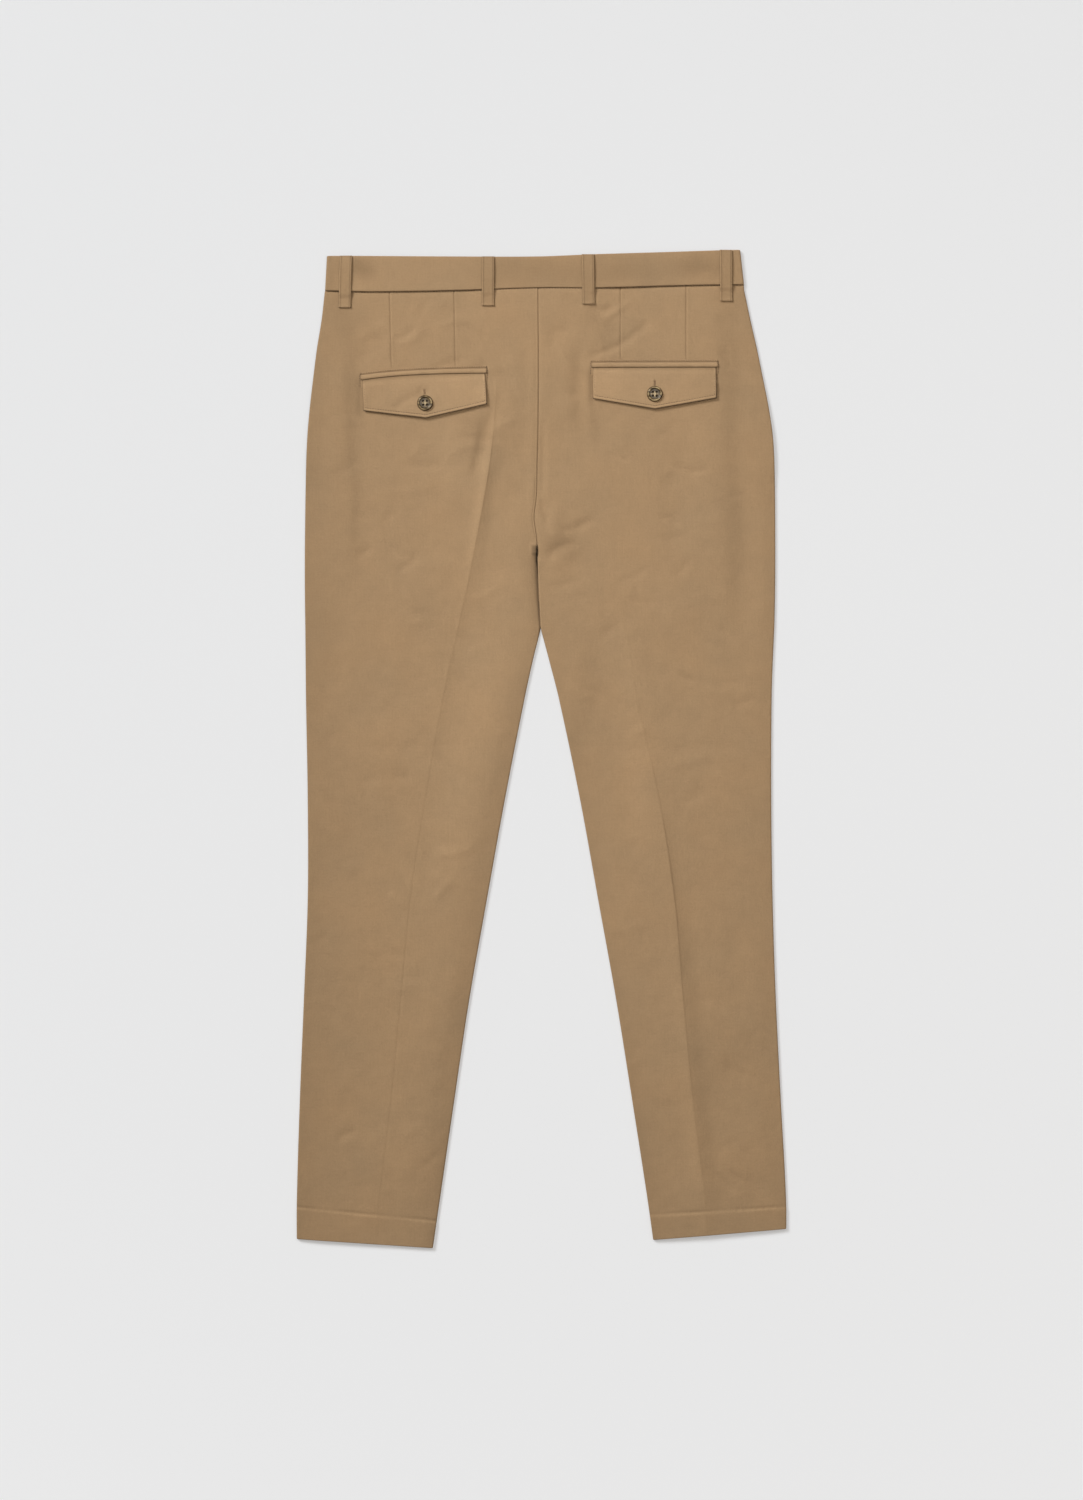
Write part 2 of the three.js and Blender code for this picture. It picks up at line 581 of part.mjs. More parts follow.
// The waistband's path seen from the hems: out from the front tab, round the left fold, across the back,
// round the right fold and back under. Each station gives the inner and the outer point, as x and z,
// at a share of the band's height.
function bandStations() {
  const radius = BAND_CLOTH + GAP / 2;
  const foldSteps = 4;
  const ends = (share) => [
    mix(BAND_ENDS.leftSeam, BAND_ENDS.leftTop, share) + radius,
    mix(BAND_ENDS.rightSeam, BAND_ENDS.rightTop, share) - radius,
  ];
  const stations = [];
  const lowerLayer = (xAt, lift) =>
    stations.push({
      front: true,
      inner: (share) => [xAt(share), lift(xAt(share)) + BAND_CLOTH],
      outer: (share) => [xAt(share), lift(xAt(share))],
    });
  const fold = (end, sign) => {
    for (let i = 0; i <= foldSteps; i++) {
      const angle = sign * Math.PI * (i / foldSteps) - Math.PI / 2;
      const out = Math.cos(angle);
      const up = Math.sin(angle);
      const along = (r) => (share) => [ends(share)[end] + out * r, radius + up * r];
      stations.push({ front: false, inner: along(GAP / 2), outer: along(radius) });
    }
  };
  const lifts = (x) => loopLift(x, 0);
  BAND_LEFT_XS.forEach((x) => lowerLayer(() => x, lifts));
  fold(0, -1);
  const backSteps = 26;
  for (let i = 1; i < backSteps; i++) {
    const eased = i / backSteps - Math.sin((2 * Math.PI * i) / backSteps) / (2.6 * Math.PI);
    const xAt = (share) => mix(...ends(share), eased);
    stations.push({
      front: false,
      inner: (share) => [xAt(share), bandUnder(xAt(share), share)],
      outer: (share) => [xAt(share), bandUnder(xAt(share), share) + BAND_CLOTH],
    });
  }
  fold(1, 1);
  const overTab = (x) => lifts(x) + (BAND_CLOTH + GAP) * (1 - smooth(TAB + 2, TAB + 34, x));
  BAND_RIGHT_XS.forEach((x) => lowerLayer(() => x, overTab));
  return stations;
}

function waistbandGeometry() {
  const shares = [1, 0.94, 0.5, 0.06, 0];
  const stations = bandStations();
  const face = (side) =>
    shares.map((share) =>
      stations.map((station) => {
        const [x, z] = station[side](share);
        const [otherX, otherZ] = station[side === "inner" ? "outer" : "inner"](share);
        const turnIn = share === 0 || share === 1 ? EDGE_ROUND / BAND_CLOTH / 1.5 : 0;
        const drop = mix(waistSeam(x) - GAP / 2, -waistTop(x), share);
        const foldShare = smooth(0, 40, Math.min(x - BAND_ENDS.leftSeam, BAND_ENDS.rightSeam - x));
        const dip = station.front ? frontDip(x) * foldShare : 0;
        return [mix(x, otherX, turnIn), SEAM_Y - drop - dip, mix(z, otherZ, turnIn)];
      }),
    );
  return wallGeometry(face("inner"), face("outer"));
}

// Height of the garment's upper face just outside the waistband or on the back panels
function topOfBack(x, drop) {
  if (drop < waistSeam(x)) return bandUnder(x, 0.5) + BAND_CLOTH;
  return backTop(x < WAIST_CENTRE ? LEGS.left : LEGS.right, x, drop);
}

// Back belt loop: it lies on the waistband with a low arch and steps down over the seam to a folded foot
function backLoopGeometry(loop) {
  const alongTable = [
    { down: 0, arch: 0, cloth: 1 },
    { down: 0.08, arch: 0.4, cloth: 1 },
    { down: 0.25, arch: 1, cloth: 1 },
    { down: 0.45, arch: 1, cloth: 1 },
    { down: 0.6, arch: 0.5, cloth: 1 },
    { down: 0.69, arch: 0.15, cloth: 1 },
    { down: 0.76, arch: 0.2, cloth: 1 },
    { down: 0.84, arch: 0.1, cloth: 1.1 },
    { down: 0.88, arch: 0, cloth: 1.5 },
    { down: 0.98, arch: 0, cloth: 1.5 },
    { down: 1, arch: 0, cloth: 1.1 },
  ];
  const top = -waistTop(loop.x);
  const seam = waistSeam(loop.x);
  const foot = seam + LOOP_FOOT;
  const face = (upper) =>
    alongTable.map(({ down, arch, cloth }) => {
      const drop = mix(top, foot, down);
      const lean = loop.lean * (1 - down);
      return [-0.5, -0.42, 0, 0.42, 0.5].map((across) => {
        const x = loop.x + lean + across * LOOP_WIDTH;
        const stepShare = smooth(seam + 2, seam + 8, drop);
        const belowSeam = topOfBack(x, Math.max(drop, seam + 0.5));
        const base = mix(bandUnder(x, 0.5) + BAND_CLOTH, belowSeam, stepShare);
        const rim = Math.abs(across) === 0.5 ? 0.35 : 0;
        const height = base + GAP + LOOP_ARCH * arch + (upper ? LOOP_CLOTH * cloth - rim : 0);
        return [x, SEAM_Y - drop, height];
      });
    });
  return wallGeometry(face(false), face(true));
}

// Front belt loop: it lies flat on the surface, under the waistband and the front panel
function frontLoopGeometry(loop) {
  const seam = waistSeam(loop.x) + frontDip(loop.x);
  const top = -waistTop(loop.x) + frontDip(loop.x);
  const rowCount = 6;
  const face = (height) =>
    Array.from({ length: rowCount + 1 }, (_, r) =>
      [-0.5, -0.42, 0.42, 0.5].map((across) => {
        const rim = Math.abs(across) === 0.5 ? 0.3 : 0;
        const drop = mix(top, seam + LOOP_FOOT, r / rowCount);
        return [loop.x + across * LOOP_WIDTH, SEAM_Y - drop, height(rim)];
      }),
    );
  return wallGeometry(
    face((rim) => rim),
    face((rim) => LOOP_CLOTH - rim),
  );
}

// A point of a back pocket: along its width from the middle, and down from the flap's top edge,
// turned as the pocket is
function pocketPoint(pocket, along, down) {
  const angle = THREE.MathUtils.degToRad(pocket.turn);
  return [
    pocket.x + along * Math.cos(angle) + down * Math.sin(angle),
    pocket.drop - along * Math.sin(angle) + down * Math.cos(angle),
  ];
}

// A wall lying on a back panel, from a grid of [along, down] and the heights of its faces over the panel
function onPocket(pocket, grid, lowerOver, upperOver) {
  const leg = LEGS[pocket.side];
  const face = (over) =>
    grid.map((row, r) =>
      row.map(([along, down], c) => {
        const onRim = r === 0 || r === grid.length - 1 || c === 0 || c === row.length - 1;
        const [x, drop] = pocketPoint(pocket, along, down);
        return [x, SEAM_Y - drop, backTop(leg, x, drop) + over(along, down, onRim)];
      }),
    );
  return wallGeometry(face(lowerOver), face(upperOver));
}

function stripGrid(width, downs, columnCount) {
  return downs.map((down) =>
    Array.from({ length: columnCount + 1 }, (_, c) => [width * (c / columnCount - 0.5), down]),
  );
}

// Upper jet: rolled at the slit, sewn flat along its top
function upperJetGeometry(pocket) {
  const grid = stripGrid(JET_WIDTH, [-JET_HEIGHT, -JET_HEIGHT + 1, -JET_HEIGHT / 2, -1, -GAP / 2], 10);
  const roll = (down) => mix(JET_ROLL, JET_CLOTH, smooth(0, JET_HEIGHT - 2, -down));
  return onPocket(
    pocket,
    grid,
    () => GAP,
    (along, down, onRim) => GAP + roll(down) - (onRim ? 0.3 : 0),
  );
}

// Lower jet: hidden by the flap but for its two ends
function lowerJetGeometry(pocket) {
  const grid = stripGrid(JET_WIDTH, [GAP / 2, JET_HEIGHT / 2, JET_HEIGHT], 10);
  return onPocket(
    pocket,
    grid,
    () => GAP,
    () => GAP + JET_CLOTH,
  );
}

// How far the flap hangs below its top edge
const flapLength = (along) => mix(FLAP_POINT, FLAP_SIDE, Math.abs(along) / (FLAP_WIDTH / 2));
function flapUnder(along, down) {
  const offJet = smooth(JET_HEIGHT + 1, JET_HEIGHT + 9, down);
  return GAP + (JET_CLOTH + GAP) * (1 - offJet);
}

function flapPuff(along, down) {
  return FLAP_PUFF * Math.cos((Math.PI * along) / FLAP_WIDTH) * smooth(0, 16, down);
}

// Flap: a pointed wall that lies on the lower jet and on the panel below it
function flapGeometry(pocket) {
  const across = [-0.5, -0.485, -0.36, -0.24, -0.12, 0, 0.12, 0.24, 0.36, 0.485, 0.5];
  const down = [0, 0.04, 0.3, 0.55, 0.8, 0.965, 1];
  const grid = down.map((share) =>
    across.map((place) => {
      const along = place * FLAP_WIDTH;
      return [along, mix(GAP / 2, flapLength(along), share)];
    }),
  );
  const base = (along, at) => flapUnder(along, at) + flapPuff(along, at);
  const face = (along, at, onRim) => base(along, at) + FLAP_CLOTH - (onRim ? 0.4 : 0);
  return onPocket(pocket, grid, base, face);
}

const wasm = await Module();
wasm.setup();

// A solid that can be cut, from a closed geometry
function solidOf(geometry) {
  const bare = geometry.clone();
  bare.deleteAttribute("normal");
  bare.deleteAttribute("uv");
  const merged = mergeVertices(bare, 1e-4);
  return new wasm.Manifold(
    new wasm.Mesh({
      numProp: 3,
      vertProperties: merged.attributes.position.array,
      triVerts: new Uint32Array(merged.index.array),
    }),
  );
}

function geometryOf(solid) {
  const mesh = solid.getMesh();
  const geometry = new THREE.BufferGeometry();
  geometry.setAttribute("position", new THREE.BufferAttribute(mesh.vertProperties, 3));
  geometry.setIndex(new THREE.BufferAttribute(mesh.triVerts, 1));
  return geometry;
}

// Four-hole button with a raised rim
function buttonGeometry() {
  const profile = [
    [0, 0],
    [BUTTON_RADIUS - 2, 0],
    [BUTTON_RADIUS - 0.3, 0.9],
    [BUTTON_RADIUS, 1.7],
    [BUTTON_RADIUS - 0.9, 2.9],
    [BUTTON_RADIUS - 2.1, 2.7],
    [BUTTON_RADIUS - 2.9, 2],
    [0, 1.9],
  ].map(([radius, height]) => new THREE.Vector2(radius, height));
  const disc = new THREE.LatheGeometry(profile, 20).rotateX(Math.PI / 2);
  let button = solidOf(disc);
  for (const [sx, sy] of [[1, 1], [-1, 1], [-1, -1], [1, -1]]) {
    const hole = new THREE.CylinderGeometry(BUTTON_HOLE_RADIUS, BUTTON_HOLE_RADIUS, 8, 8)
      .rotateX(Math.PI / 2)
      .translate(sx * BUTTON_HOLE_OFFSET, sy * BUTTON_HOLE_OFFSET, 1);
    button = button.subtract(solidOf(hole));
  }
  return geometryOf(button);
}

const chino = new THREE.MeshStandardMaterial({ color: 0xa88b66, roughness: 0.92, metalness: 0 });
const horn = new THREE.MeshStandardMaterial({ color: 0x6e5f4c, roughness: 0.35, metalness: 0 });

const trousers = new THREE.Group();
function add(name, geometry, material) {
  const mesh = new THREE.Mesh(geometry, material);
  mesh.name = name;
  trousers.add(mesh);
  return mesh;
}

for (const [side, leg] of Object.entries(LEGS)) {
  add(`front_${side}`, frontPanelGeometry(leg), chino);
  add(`pocket_facing_${side}`, pocketFacingGeometry(leg), chino);
  add(`back_${side}`, backPanelGeometry(leg), chino);
}
add("waistband", waistbandGeometry(), chino);
BACK_LOOPS.forEach((loop) => add(loop.name, backLoopGeometry(loop), chino));
FRONT_LOOPS.forEach((loop) => add(loop.name, frontLoopGeometry(loop), chino));
for (const pocket of POCKETS) {
  add(`pocket_jet_upper_${pocket.side}`, upperJetGeometry(pocket), chino);
  add(`pocket_jet_lower_${pocket.side}`, lowerJetGeometry(pocket), chino);
  add(`pocket_flap_${pocket.side}`, flapGeometry(pocket), chino);
  const button = add(`pocket_button_${pocket.side}`, buttonGeometry(), horn);
  const [x, drop] = pocketPoint(pocket, 0, BUTTON_DROP);
  const flapOver = flapUnder(0, BUTTON_DROP) + flapPuff(0, BUTTON_DROP) + FLAP_CLOTH;
  button.position.set(x, SEAM_Y - drop, backTop(LEGS[pocket.side], x, drop) + flapOver + GAP);
}

export default trousers;
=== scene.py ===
"""Chino trousers laid flat with the back up, on a pale floor.

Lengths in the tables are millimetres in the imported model's frame: x to the wearer's right, y up the body to
the waist, z up off the floor. "drop" is a distance down the body from the waist seam.
"""

import bpy
import numpy as np
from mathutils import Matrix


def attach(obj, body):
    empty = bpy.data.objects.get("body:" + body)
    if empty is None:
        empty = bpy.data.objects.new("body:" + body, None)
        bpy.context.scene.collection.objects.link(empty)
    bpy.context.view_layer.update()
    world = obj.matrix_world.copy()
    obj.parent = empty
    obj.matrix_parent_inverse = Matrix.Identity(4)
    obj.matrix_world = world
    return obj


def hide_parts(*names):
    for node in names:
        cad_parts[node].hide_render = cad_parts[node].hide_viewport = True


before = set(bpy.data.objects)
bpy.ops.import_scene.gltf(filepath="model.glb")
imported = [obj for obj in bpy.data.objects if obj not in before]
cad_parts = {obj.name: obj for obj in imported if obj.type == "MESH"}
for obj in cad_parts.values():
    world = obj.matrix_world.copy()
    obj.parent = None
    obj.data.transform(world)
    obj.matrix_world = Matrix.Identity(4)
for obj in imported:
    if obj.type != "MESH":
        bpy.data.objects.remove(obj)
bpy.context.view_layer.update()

# Front leg panels
# Two panels of cotton twill, face down on the floor. The left one laps over the right along the fly, and
# each is cut away on a slant for the mouth of its front pocket. Seams on both sides join them to the backs.
MM = 0.001
SEAM_Y = 477.82
GAP = 0.3
WALL = 1.0
SEAM_ROLL = 1.5
# Drops between which the sewn legs part into two rolled edges
FORK_OPENS = (262.0, 284.0)
SEAM_SWING, SWING_DROP, SWING_REACH = 3.0, 237.0, 16.0
CREASE_FROM_LOOP = 450.0
FRONT_DIP = 10.0
WAIST_FADE = 110.0
FLY_LENGTH = 165.0
FLY_LAP, LAP_ENDS = 5.0, (FLY_LENGTH - 12, FLY_LENGTH + 8)
FLY_CLEAR, FLY_EASE = 14.0, 34.0
FLY_STEP, FLY_STEP_ENDS = 1.7, (201.0, 255.0)
MOUTH_INSET, MOUTH_REACH = 42.0, 172.0
MOUTH_ROLL = (150.0, 175.0)
LOOP_CLEAR, LOOP_EASE, LOOP_STEP = 7.8, 20.0, 1.6
LOOP_PAST = (40.0, 80.0)
FRONT_LOOP_X = (-112.0, 104.0)
FRONT_PRESS, PRESS_WIDTH, PRESS_STARTS = 0.35, 2.2, (60.0, 200.0)
HEM_FOLD, HEM_STEP_FROM, HEM_STEP_TO = 0.8, 3.0, 4.0
SIDE_TUCK, TUCK_FADE = 1.3, 60.0

# Each row of a leg: drop, side seam, pressed crease, inseam
LEFT_LEG = np.array(
    [
        (0, -225, -42, -3.5),
        (31, -228.5, -43.5, -3.3),
        (62, -233.5, -45, -3),
        (94, -237.5, -46.5, -3),
        (125, -241, -48.5, -3.2),
        (156, -243.5, -51, -3.6),
        (198, -245, -56.5, -4.6),
        (272, -246, -70, -4.2),
        (312, -246, -78, -3),
        (346, -245.6, -85.7, -1.1),
        (352, -245.5, -87, -0.8),
        (385, -245.2, -94.5, -8.8),
        (426, -244.8, -103, -17.7),
        (530, -243, -121.5, -38),
        (634, -243, -137, -56.7),
        (738, -247, -147, -75),
        (842, -251.2, -157, -90.5),
        (946, -254.3, -169, -105.6),
        (997, -254.3, -172, -113),
    ]
)
RIGHT_LEG = np.array(
    [
        (0, 210.5, 42, -3.5),
        (31, 217, 44, -3.3),
        (62, 224, 46, -3),
        (94, 230.5, 49, -3),
        (125, 236.5, 52, -3.2),
        (156, 240.7, 55.5, -3.6),
        (198, 242.5, 61, -4.6),
        (272, 243, 73, -4.2),
        (312, 242.8, 80, -3),
        (346, 242.2, 86, -1.1),
        (352, 242, 87, -0.8),
        (385, 240.5, 92.5, 7.8),
        (426, 239.2, 99, 18.2),
        (530, 238.8, 122, 40),
        (634, 240.2, 138, 58.8),
        (738, 243.6, 147, 77.5),
        (842, 248.7, 157, 94.1),
        (946, 254.2, 169.5, 110.2),
        (997, 254.2, 172.5, 117.3),
    ]
)
# Each row of the waist, across the back: x, the seam's drop, the band's top edge above the seam's level
WAIST = np.array(
    [
        (-225, 2, 34.5),
        (-175, 3.3, 34),
        (-90, 2, 33.5),
        (-5, -0.8, 33.5),
        (60, -0.8, 36),
        (140, -3, 38.5),
        (210.5, -4.4, 41),
    ]
)
WAIST_MIDDLE = (-225 + 210.5) / 2
WAIST_SPLIT = -3.5
WAIST_WIDTH = 225 + 210.5


def mix(a, b, share):
    """A value that goes straight from a to b as the share goes from 0 to 1."""
    return a + (b - a) * share


def smooth(start, end, value):
    """0 up to the start and 1 from the end, with 3t^2 - 2t^3 between them."""
    t = np.clip((value - start) / (end - start), 0, 1)
    return t * t * (3 - 2 * t)


def bell(distance, width):
    """1 at no distance, and e to minus the square of distance over width on both sides of it."""
    return np.exp(-((distance / width) ** 2))


def falling(distance, reach):
    """1 at an edge, and e to minus distance over reach away from it."""
    return np.exp(-distance / reach)


def curve(table, column):
    """A cubic through a table's rows. Its slope at a row is that from the row before to the row after."""
    at = table[:, 0].astype(float)
    values = table[:, column].astype(float)
    rows = np.arange(len(at))
    before = np.maximum(rows - 1, 0)
    after = np.minimum(rows + 1, len(at) - 1)
    slopes = (values[after] - values[before]) / (at[after] - at[before])

    def value_at(position):
        t = np.clip(position, at[0], at[-1])
        i = np.clip(np.searchsorted(at, t, side="right") - 1, 0, len(at) - 2)
        span = at[i + 1] - at[i]
        s = (t - at[i]) / span
        start = values[i] * (1 + 2 * s) * (1 - s) ** 2 + slopes[i] * span * s * (1 - s) ** 2
        end = values[i + 1] * s * s * (3 - 2 * s) + slopes[i + 1] * span * s * s * (s - 1)
        return start + end

    return value_at


waist_seam = curve(WAIST, 1)
waist_top = curve(WAIST, 2)


class Leg:
    """The laid-out outline of one leg: its seams and crease by drop, its lengths, and its side."""

    def __init__(self, table, sign, side_length, inseam_length, hem_side, hem_inseam):
        self.sign = sign
        self.side = curve(table, 1)
        self.crease = curve(table, 2)
        self.laid_inseam = curve(table, 3)
        self.side_length = side_length
        self.inseam_length = inseam_length
        self.hem_side = hem_side
        self.hem_inseam = hem_inseam

    def inseam(self, drop):
        """The inseam, which above the fork is the centre seam and swings out to the left there."""
        return self.laid_inseam(drop) - SEAM_SWING * bell(drop - SWING_DROP, SWING_REACH)

    def across(self, x, drop):
        """Share of the way from the side seam to the inseam."""
        return (x - self.side(drop)) / (self.inseam(drop) - self.side(drop))

    def above_hem(self, x, drop):
        """Distance up from the hem's edge, which slants from side to inseam."""
        return mix(self.side_length, self.inseam_length, self.across(x, drop)) - drop

    def hem_depth(self, x, drop):
        return mix(self.hem_side, self.hem_inseam, self.across(x, drop))


legs = {
    "left": Leg(LEFT_LEG, -1, 987, 996.5, 33, 28),
    "right": Leg(RIGHT_LEG, 1, 976.5, 988, 23, 26),
}


def front_dip(x):
    """How much lower the front waist lies than the back: a squared cosine over the waist's width."""
    return FRONT_DIP * np.cos(np.pi * (x - WAIST_MIDDLE) / WAIST_WIDTH) ** 2


def mouth_inset(drop):
    return MOUTH_INSET * np.maximum(1 - drop / MOUTH_REACH, 0)


def side_tuck(drop):
    """How far the lower layers stay inside the side seam, which is rolled to the front down the pocket."""
    return SIDE_TUCK * (1 - smooth(MOUTH_REACH, MOUTH_REACH + TUCK_FADE, drop))


def loop_lift(x, drop):
    """What lies over a front belt loop is level over the loop and eases down beside it and past its
    foot."""
    nearest = np.minimum(abs(x - FRONT_LOOP_X[0]), abs(x - FRONT_LOOP_X[1]))
    beside = 1 - smooth(LOOP_CLEAR, LOOP_EASE, nearest)
    return LOOP_STEP * beside * (1 - smooth(*LOOP_PAST, drop - front_dip(x)))


def hem_fold(leg, x, drop):
    """Extra thickness of the turned-up hem, which steps up at the hem's depth."""
    depth = leg.hem_depth(x, drop)
    step = smooth(depth - HEM_STEP_FROM, depth + HEM_STEP_TO, leg.above_hem(x, drop))
    return HEM_FOLD * (1 - step)


def spread(stops, counts):
    """Places from the first stop to the last, with so many even steps between each two stops."""
    runs = [np.linspace(a, b, n, endpoint=False) for a, b, n in zip(stops[:-1], stops[1:], counts)]
    return np.concatenate([*runs, [stops[-1]]])


def rolled(distance, radius):
    """Drop of a quarter round from its flat: radius at the edge, none from one radius in."""
    t = np.clip(1 - distance / radius, 0, 1)
    return radius * (1 - np.sqrt(1 - t * t))


def quads_between(index):
    """The four corners of every cell of a grid of point numbers, in turn."""
    corners = [index[:-1, :-1], index[1:, :-1], index[1:, 1:], index[:-1, 1:]]
    return np.stack(corners, -1).reshape(-1, 4)


def mesh_of(name, points, quads, wear=None):
    """A smooth-shaded mesh in metres from points in millimetres, with each point's painted shading and tone.
    """
    mesh = bpy.data.meshes.new(name)
    mesh.from_pydata(points * MM, [], quads)
    mesh.shade_smooth()
    if wear is not None:
        mesh.attributes.new("wear", "FLOAT", "POINT").data.foreach_set("value", wear.astype(np.float32))
    return mesh


def cloth_shell(name, outer, thickness, rim=None, rounding=0.4, wear=None):
    """A closed wall of cloth. The outer face is a grid of points whose rows run down and whose columns
    run right, seen from outside. The inner face is the grid moved in along its normals, the cross product
    of its steps down and right. Within the rounding of the rim both faces draw in on a quarter round, and
    quads join them."""
    normal = np.cross(np.gradient(outer, axis=0), np.gradient(outer, axis=1))
    normal /= np.linalg.norm(normal, axis=2, keepdims=True)
    draw_in = np.zeros(outer.shape[:2]) if rim is None else rolled(rim, rounding)
    thickness = np.broadcast_to(thickness, draw_in.shape)
    face = outer - normal * draw_in[..., None]
    inside = outer - normal * (thickness - draw_in)[..., None]
    index = np.arange(draw_in.size).reshape(draw_in.shape)
    border = np.concatenate([index[:, 0], index[-1, 1:], index[-2::-1, -1], index[0, -2:0:-1]])
    following = np.roll(border, -1)
    skin = quads_between(index)
    rim_quads = np.stack([following, border, border + index.size, following + index.size], -1)
    quads = np.concatenate([skin, skin[:, ::-1] + index.size, rim_quads])
    points = np.concatenate([face.reshape(-1, 3), inside.reshape(-1, 3)])
    shading_and_tone = None if wear is None else np.tile(np.broadcast_to(wear, draw_in.shape).ravel(), 2)
    return mesh_of(name, points, quads, shading_and_tone)


class Value:
    """A number socket in an expression: each operator adds its Math node to the tree."""

    def __init__(self, finish, socket):
        self.finish = finish
        self.socket = socket

    def math(self, operation, *others):
        sockets = dict(enumerate((self, *others)))
        return self.finish.add("Math", {"operation": operation}, sockets)[0]

    def __add__(self, other):
        return self.math("ADD", other)

    def __sub__(self, other):
        return self.math("SUBTRACT", other)

    def __mul__(self, other):
        return self.math("MULTIPLY", other)

    __radd__ = __add__
    __rmul__ = __mul__


class Finish:
    """A material under construction. add() puts in a node: its type, settings, and socket values or links."""

    def __init__(self, name):
        self.material = bpy.data.materials.new(name)
        self.material.use_nodes = True
        self.material.node_tree.nodes.clear()

    def add(self, kind, settings=None, sockets=None):
        node = self.material.node_tree.nodes.new("ShaderNode" + kind)
        for key, setting in (settings or {}).items():
            if key == "stops":
                ramp = node.color_ramp.elements
                while len(ramp) < len(setting):
                    ramp.new(1.0)
                for stop, (place, colour) in zip(ramp, setting):
                    stop.position = place
                    stop.color = (*colour, 1.0)
            else:
                setattr(node, key, setting)
        for key, content in (sockets or {}).items():
            socket = node.inputs[key]
            if isinstance(content, Value):
                self.material.node_tree.links.new(content.socket, socket)
            else:
                socket.default_value = content
        return [Value(self, out) for out in node.outputs if out.enabled]

    def noise(self, place, scale, detail=3.0):
        """Noise about 0, from about -0.5 to 0.5."""
        return self.add("TexNoise", {}, {"Vector": place, "Scale": scale, "Detail": detail})[0] - 0.5

    def stretched(self, place, scale):
        return self.add("Mapping", {}, {"Vector": place, "Scale": scale})[0]

    def blend(self, share, colour_a, colour_b):
        return self.add("Mix", {"data_type": "RGBA"}, {0: share, 6: colour_a, 7: colour_b})[0]

    def shaded(self, colour, tone):
        return self.add("VectorMath", {"operation": "SCALE"}, {0: colour, 3: tone})[0]

    def surface(self, sockets):
        shader = self.add("BsdfPrincipled", {}, sockets)[0]
        self.add("OutputMaterial", {}, {"Surface": shader})
        return self.material


WALE_PITCH = 0.00075
WALE_SLANT = np.radians(58)


def twill_finish(name, warm, cool, relief):
    """Cotton twill: slanting wales as a sine over their pitch, slubs along the cloth, flecks, soft clouds
    of warmer and cooler tan, and each point's painted light, shade and tone, smoother where it is paler."""
    finish = Finish(name)
    place = finish.add("TexCoord")[3]
    x, y, _ = finish.add("SeparateXYZ", {}, {0: place})
    shading_and_tone = finish.add("Attribute", {"attribute_name": "wear"})[2]
    clouds = finish.noise(place, 15.0, 2.0)
    patches = finish.noise(place, 75.0, 3.0)
    flecks = finish.noise(place, 520.0, 3.0)
    slubs = finish.noise(finish.stretched(place, (1300.0, 70.0, 300.0)), 1.0, 2.0)
    picks = finish.noise(finish.stretched(place, (60.0, 1500.0, 300.0)), 1.0, 2.0)
    along_wales = x * float(np.sin(WALE_SLANT)) - y * float(np.cos(WALE_SLANT))
    wales = (along_wales * (2 * np.pi / WALE_PITCH)).math("SINE")
    tone = 1.0 + clouds * 0.09 + patches * 0.12 + flecks * 0.17 + slubs * 0.12 + picks * 0.09 + wales * 0.03
    colour = finish.blend(clouds * 1.2 + 0.5, (*cool, 1.0), (*warm, 1.0))
    height = wales * 0.35 + flecks * 1.1 + slubs * 0.5 + picks * 0.4 + patches * 6.0
    bump = finish.add("Bump", {}, {"Strength": relief, "Distance": 0.00018, "Height": height})[0]
    return finish.surface(
        {
            # Base colour made paler or darker by each point's painted light and shade, and its tone
            "Base Color": finish.shaded(colour, tone * (1.0 + shading_and_tone * 0.2)),
            "Roughness": 0.9 + flecks * 0.08 - shading_and_tone * 0.1,
            "Normal": bump,
            "Specular IOR Level": 0.22,
            "Sheen Weight": 0.12,
            "Sheen Roughness": 0.45,
            "Sheen Tint": (0.9, 0.82, 0.7, 1.0),
        }
    )


twill = twill_finish("tan_twill", warm=(0.366, 0.226, 0.114), cool=(0.348, 0.225, 0.119), relief=0.6)


def sewn_piece(name, mesh, material, slot, *nodes):
    """An object for a finished mesh, which rides on the trousers and stands for the named nodes."""
    piece = bpy.data.objects.new(name, mesh)
    bpy.context.scene.collection.objects.link(piece)
    mesh.materials.append(material)
    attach(piece, "root")
    if nodes:
        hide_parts(*nodes)
    return piece


def from_seam(points_x, drop, height):
    """Points in the frame from x, drop and height."""
    return np.stack(np.broadcast_arrays(points_x, SEAM_Y - drop, height), -1)


def below_waist(x, drop, dip):
    """Moves rows near the top of a panel down to the curved waist seam, by a share that fades below it."""
    share = np.maximum(1 - drop / WAIST_FADE, 0) ** 2
    return drop + (waist_seam(x) + GAP / 2 + dip) * share


EDGE_STEPS = np.array([0, 0.15, 0.4, 0.75, 1.15, 1.6, 2.3, 3.4, 5, 7.5])
HEM_STEPS = np.array([0, 0.3, 0.7, 1.2, 1.8, 2.6])
# Stops of the rows, down from the waist and up from the hem, and the shares of the rows in seat and leg
WAIST_STOPS, HEM_STOPS = [0, 3, 330], [42, 20, 4]
SEAT_ROWS, LEG_ROWS = 0.42, 0.58


def leg_rows(leg, steps):
    """Rows down a leg as shares of its length, closer together at the waist seam, hem step and hem edge."""
    end = leg.inseam_length
    stops = [*WAIST_STOPS, *(end - stop for stop in HEM_STOPS)]
    rows = spread(stops, [4, int(steps * SEAT_ROWS), int(steps * LEG_ROWS), 16, 6])
    return np.concatenate([rows, end - HEM_STEPS[::-1]]) / end


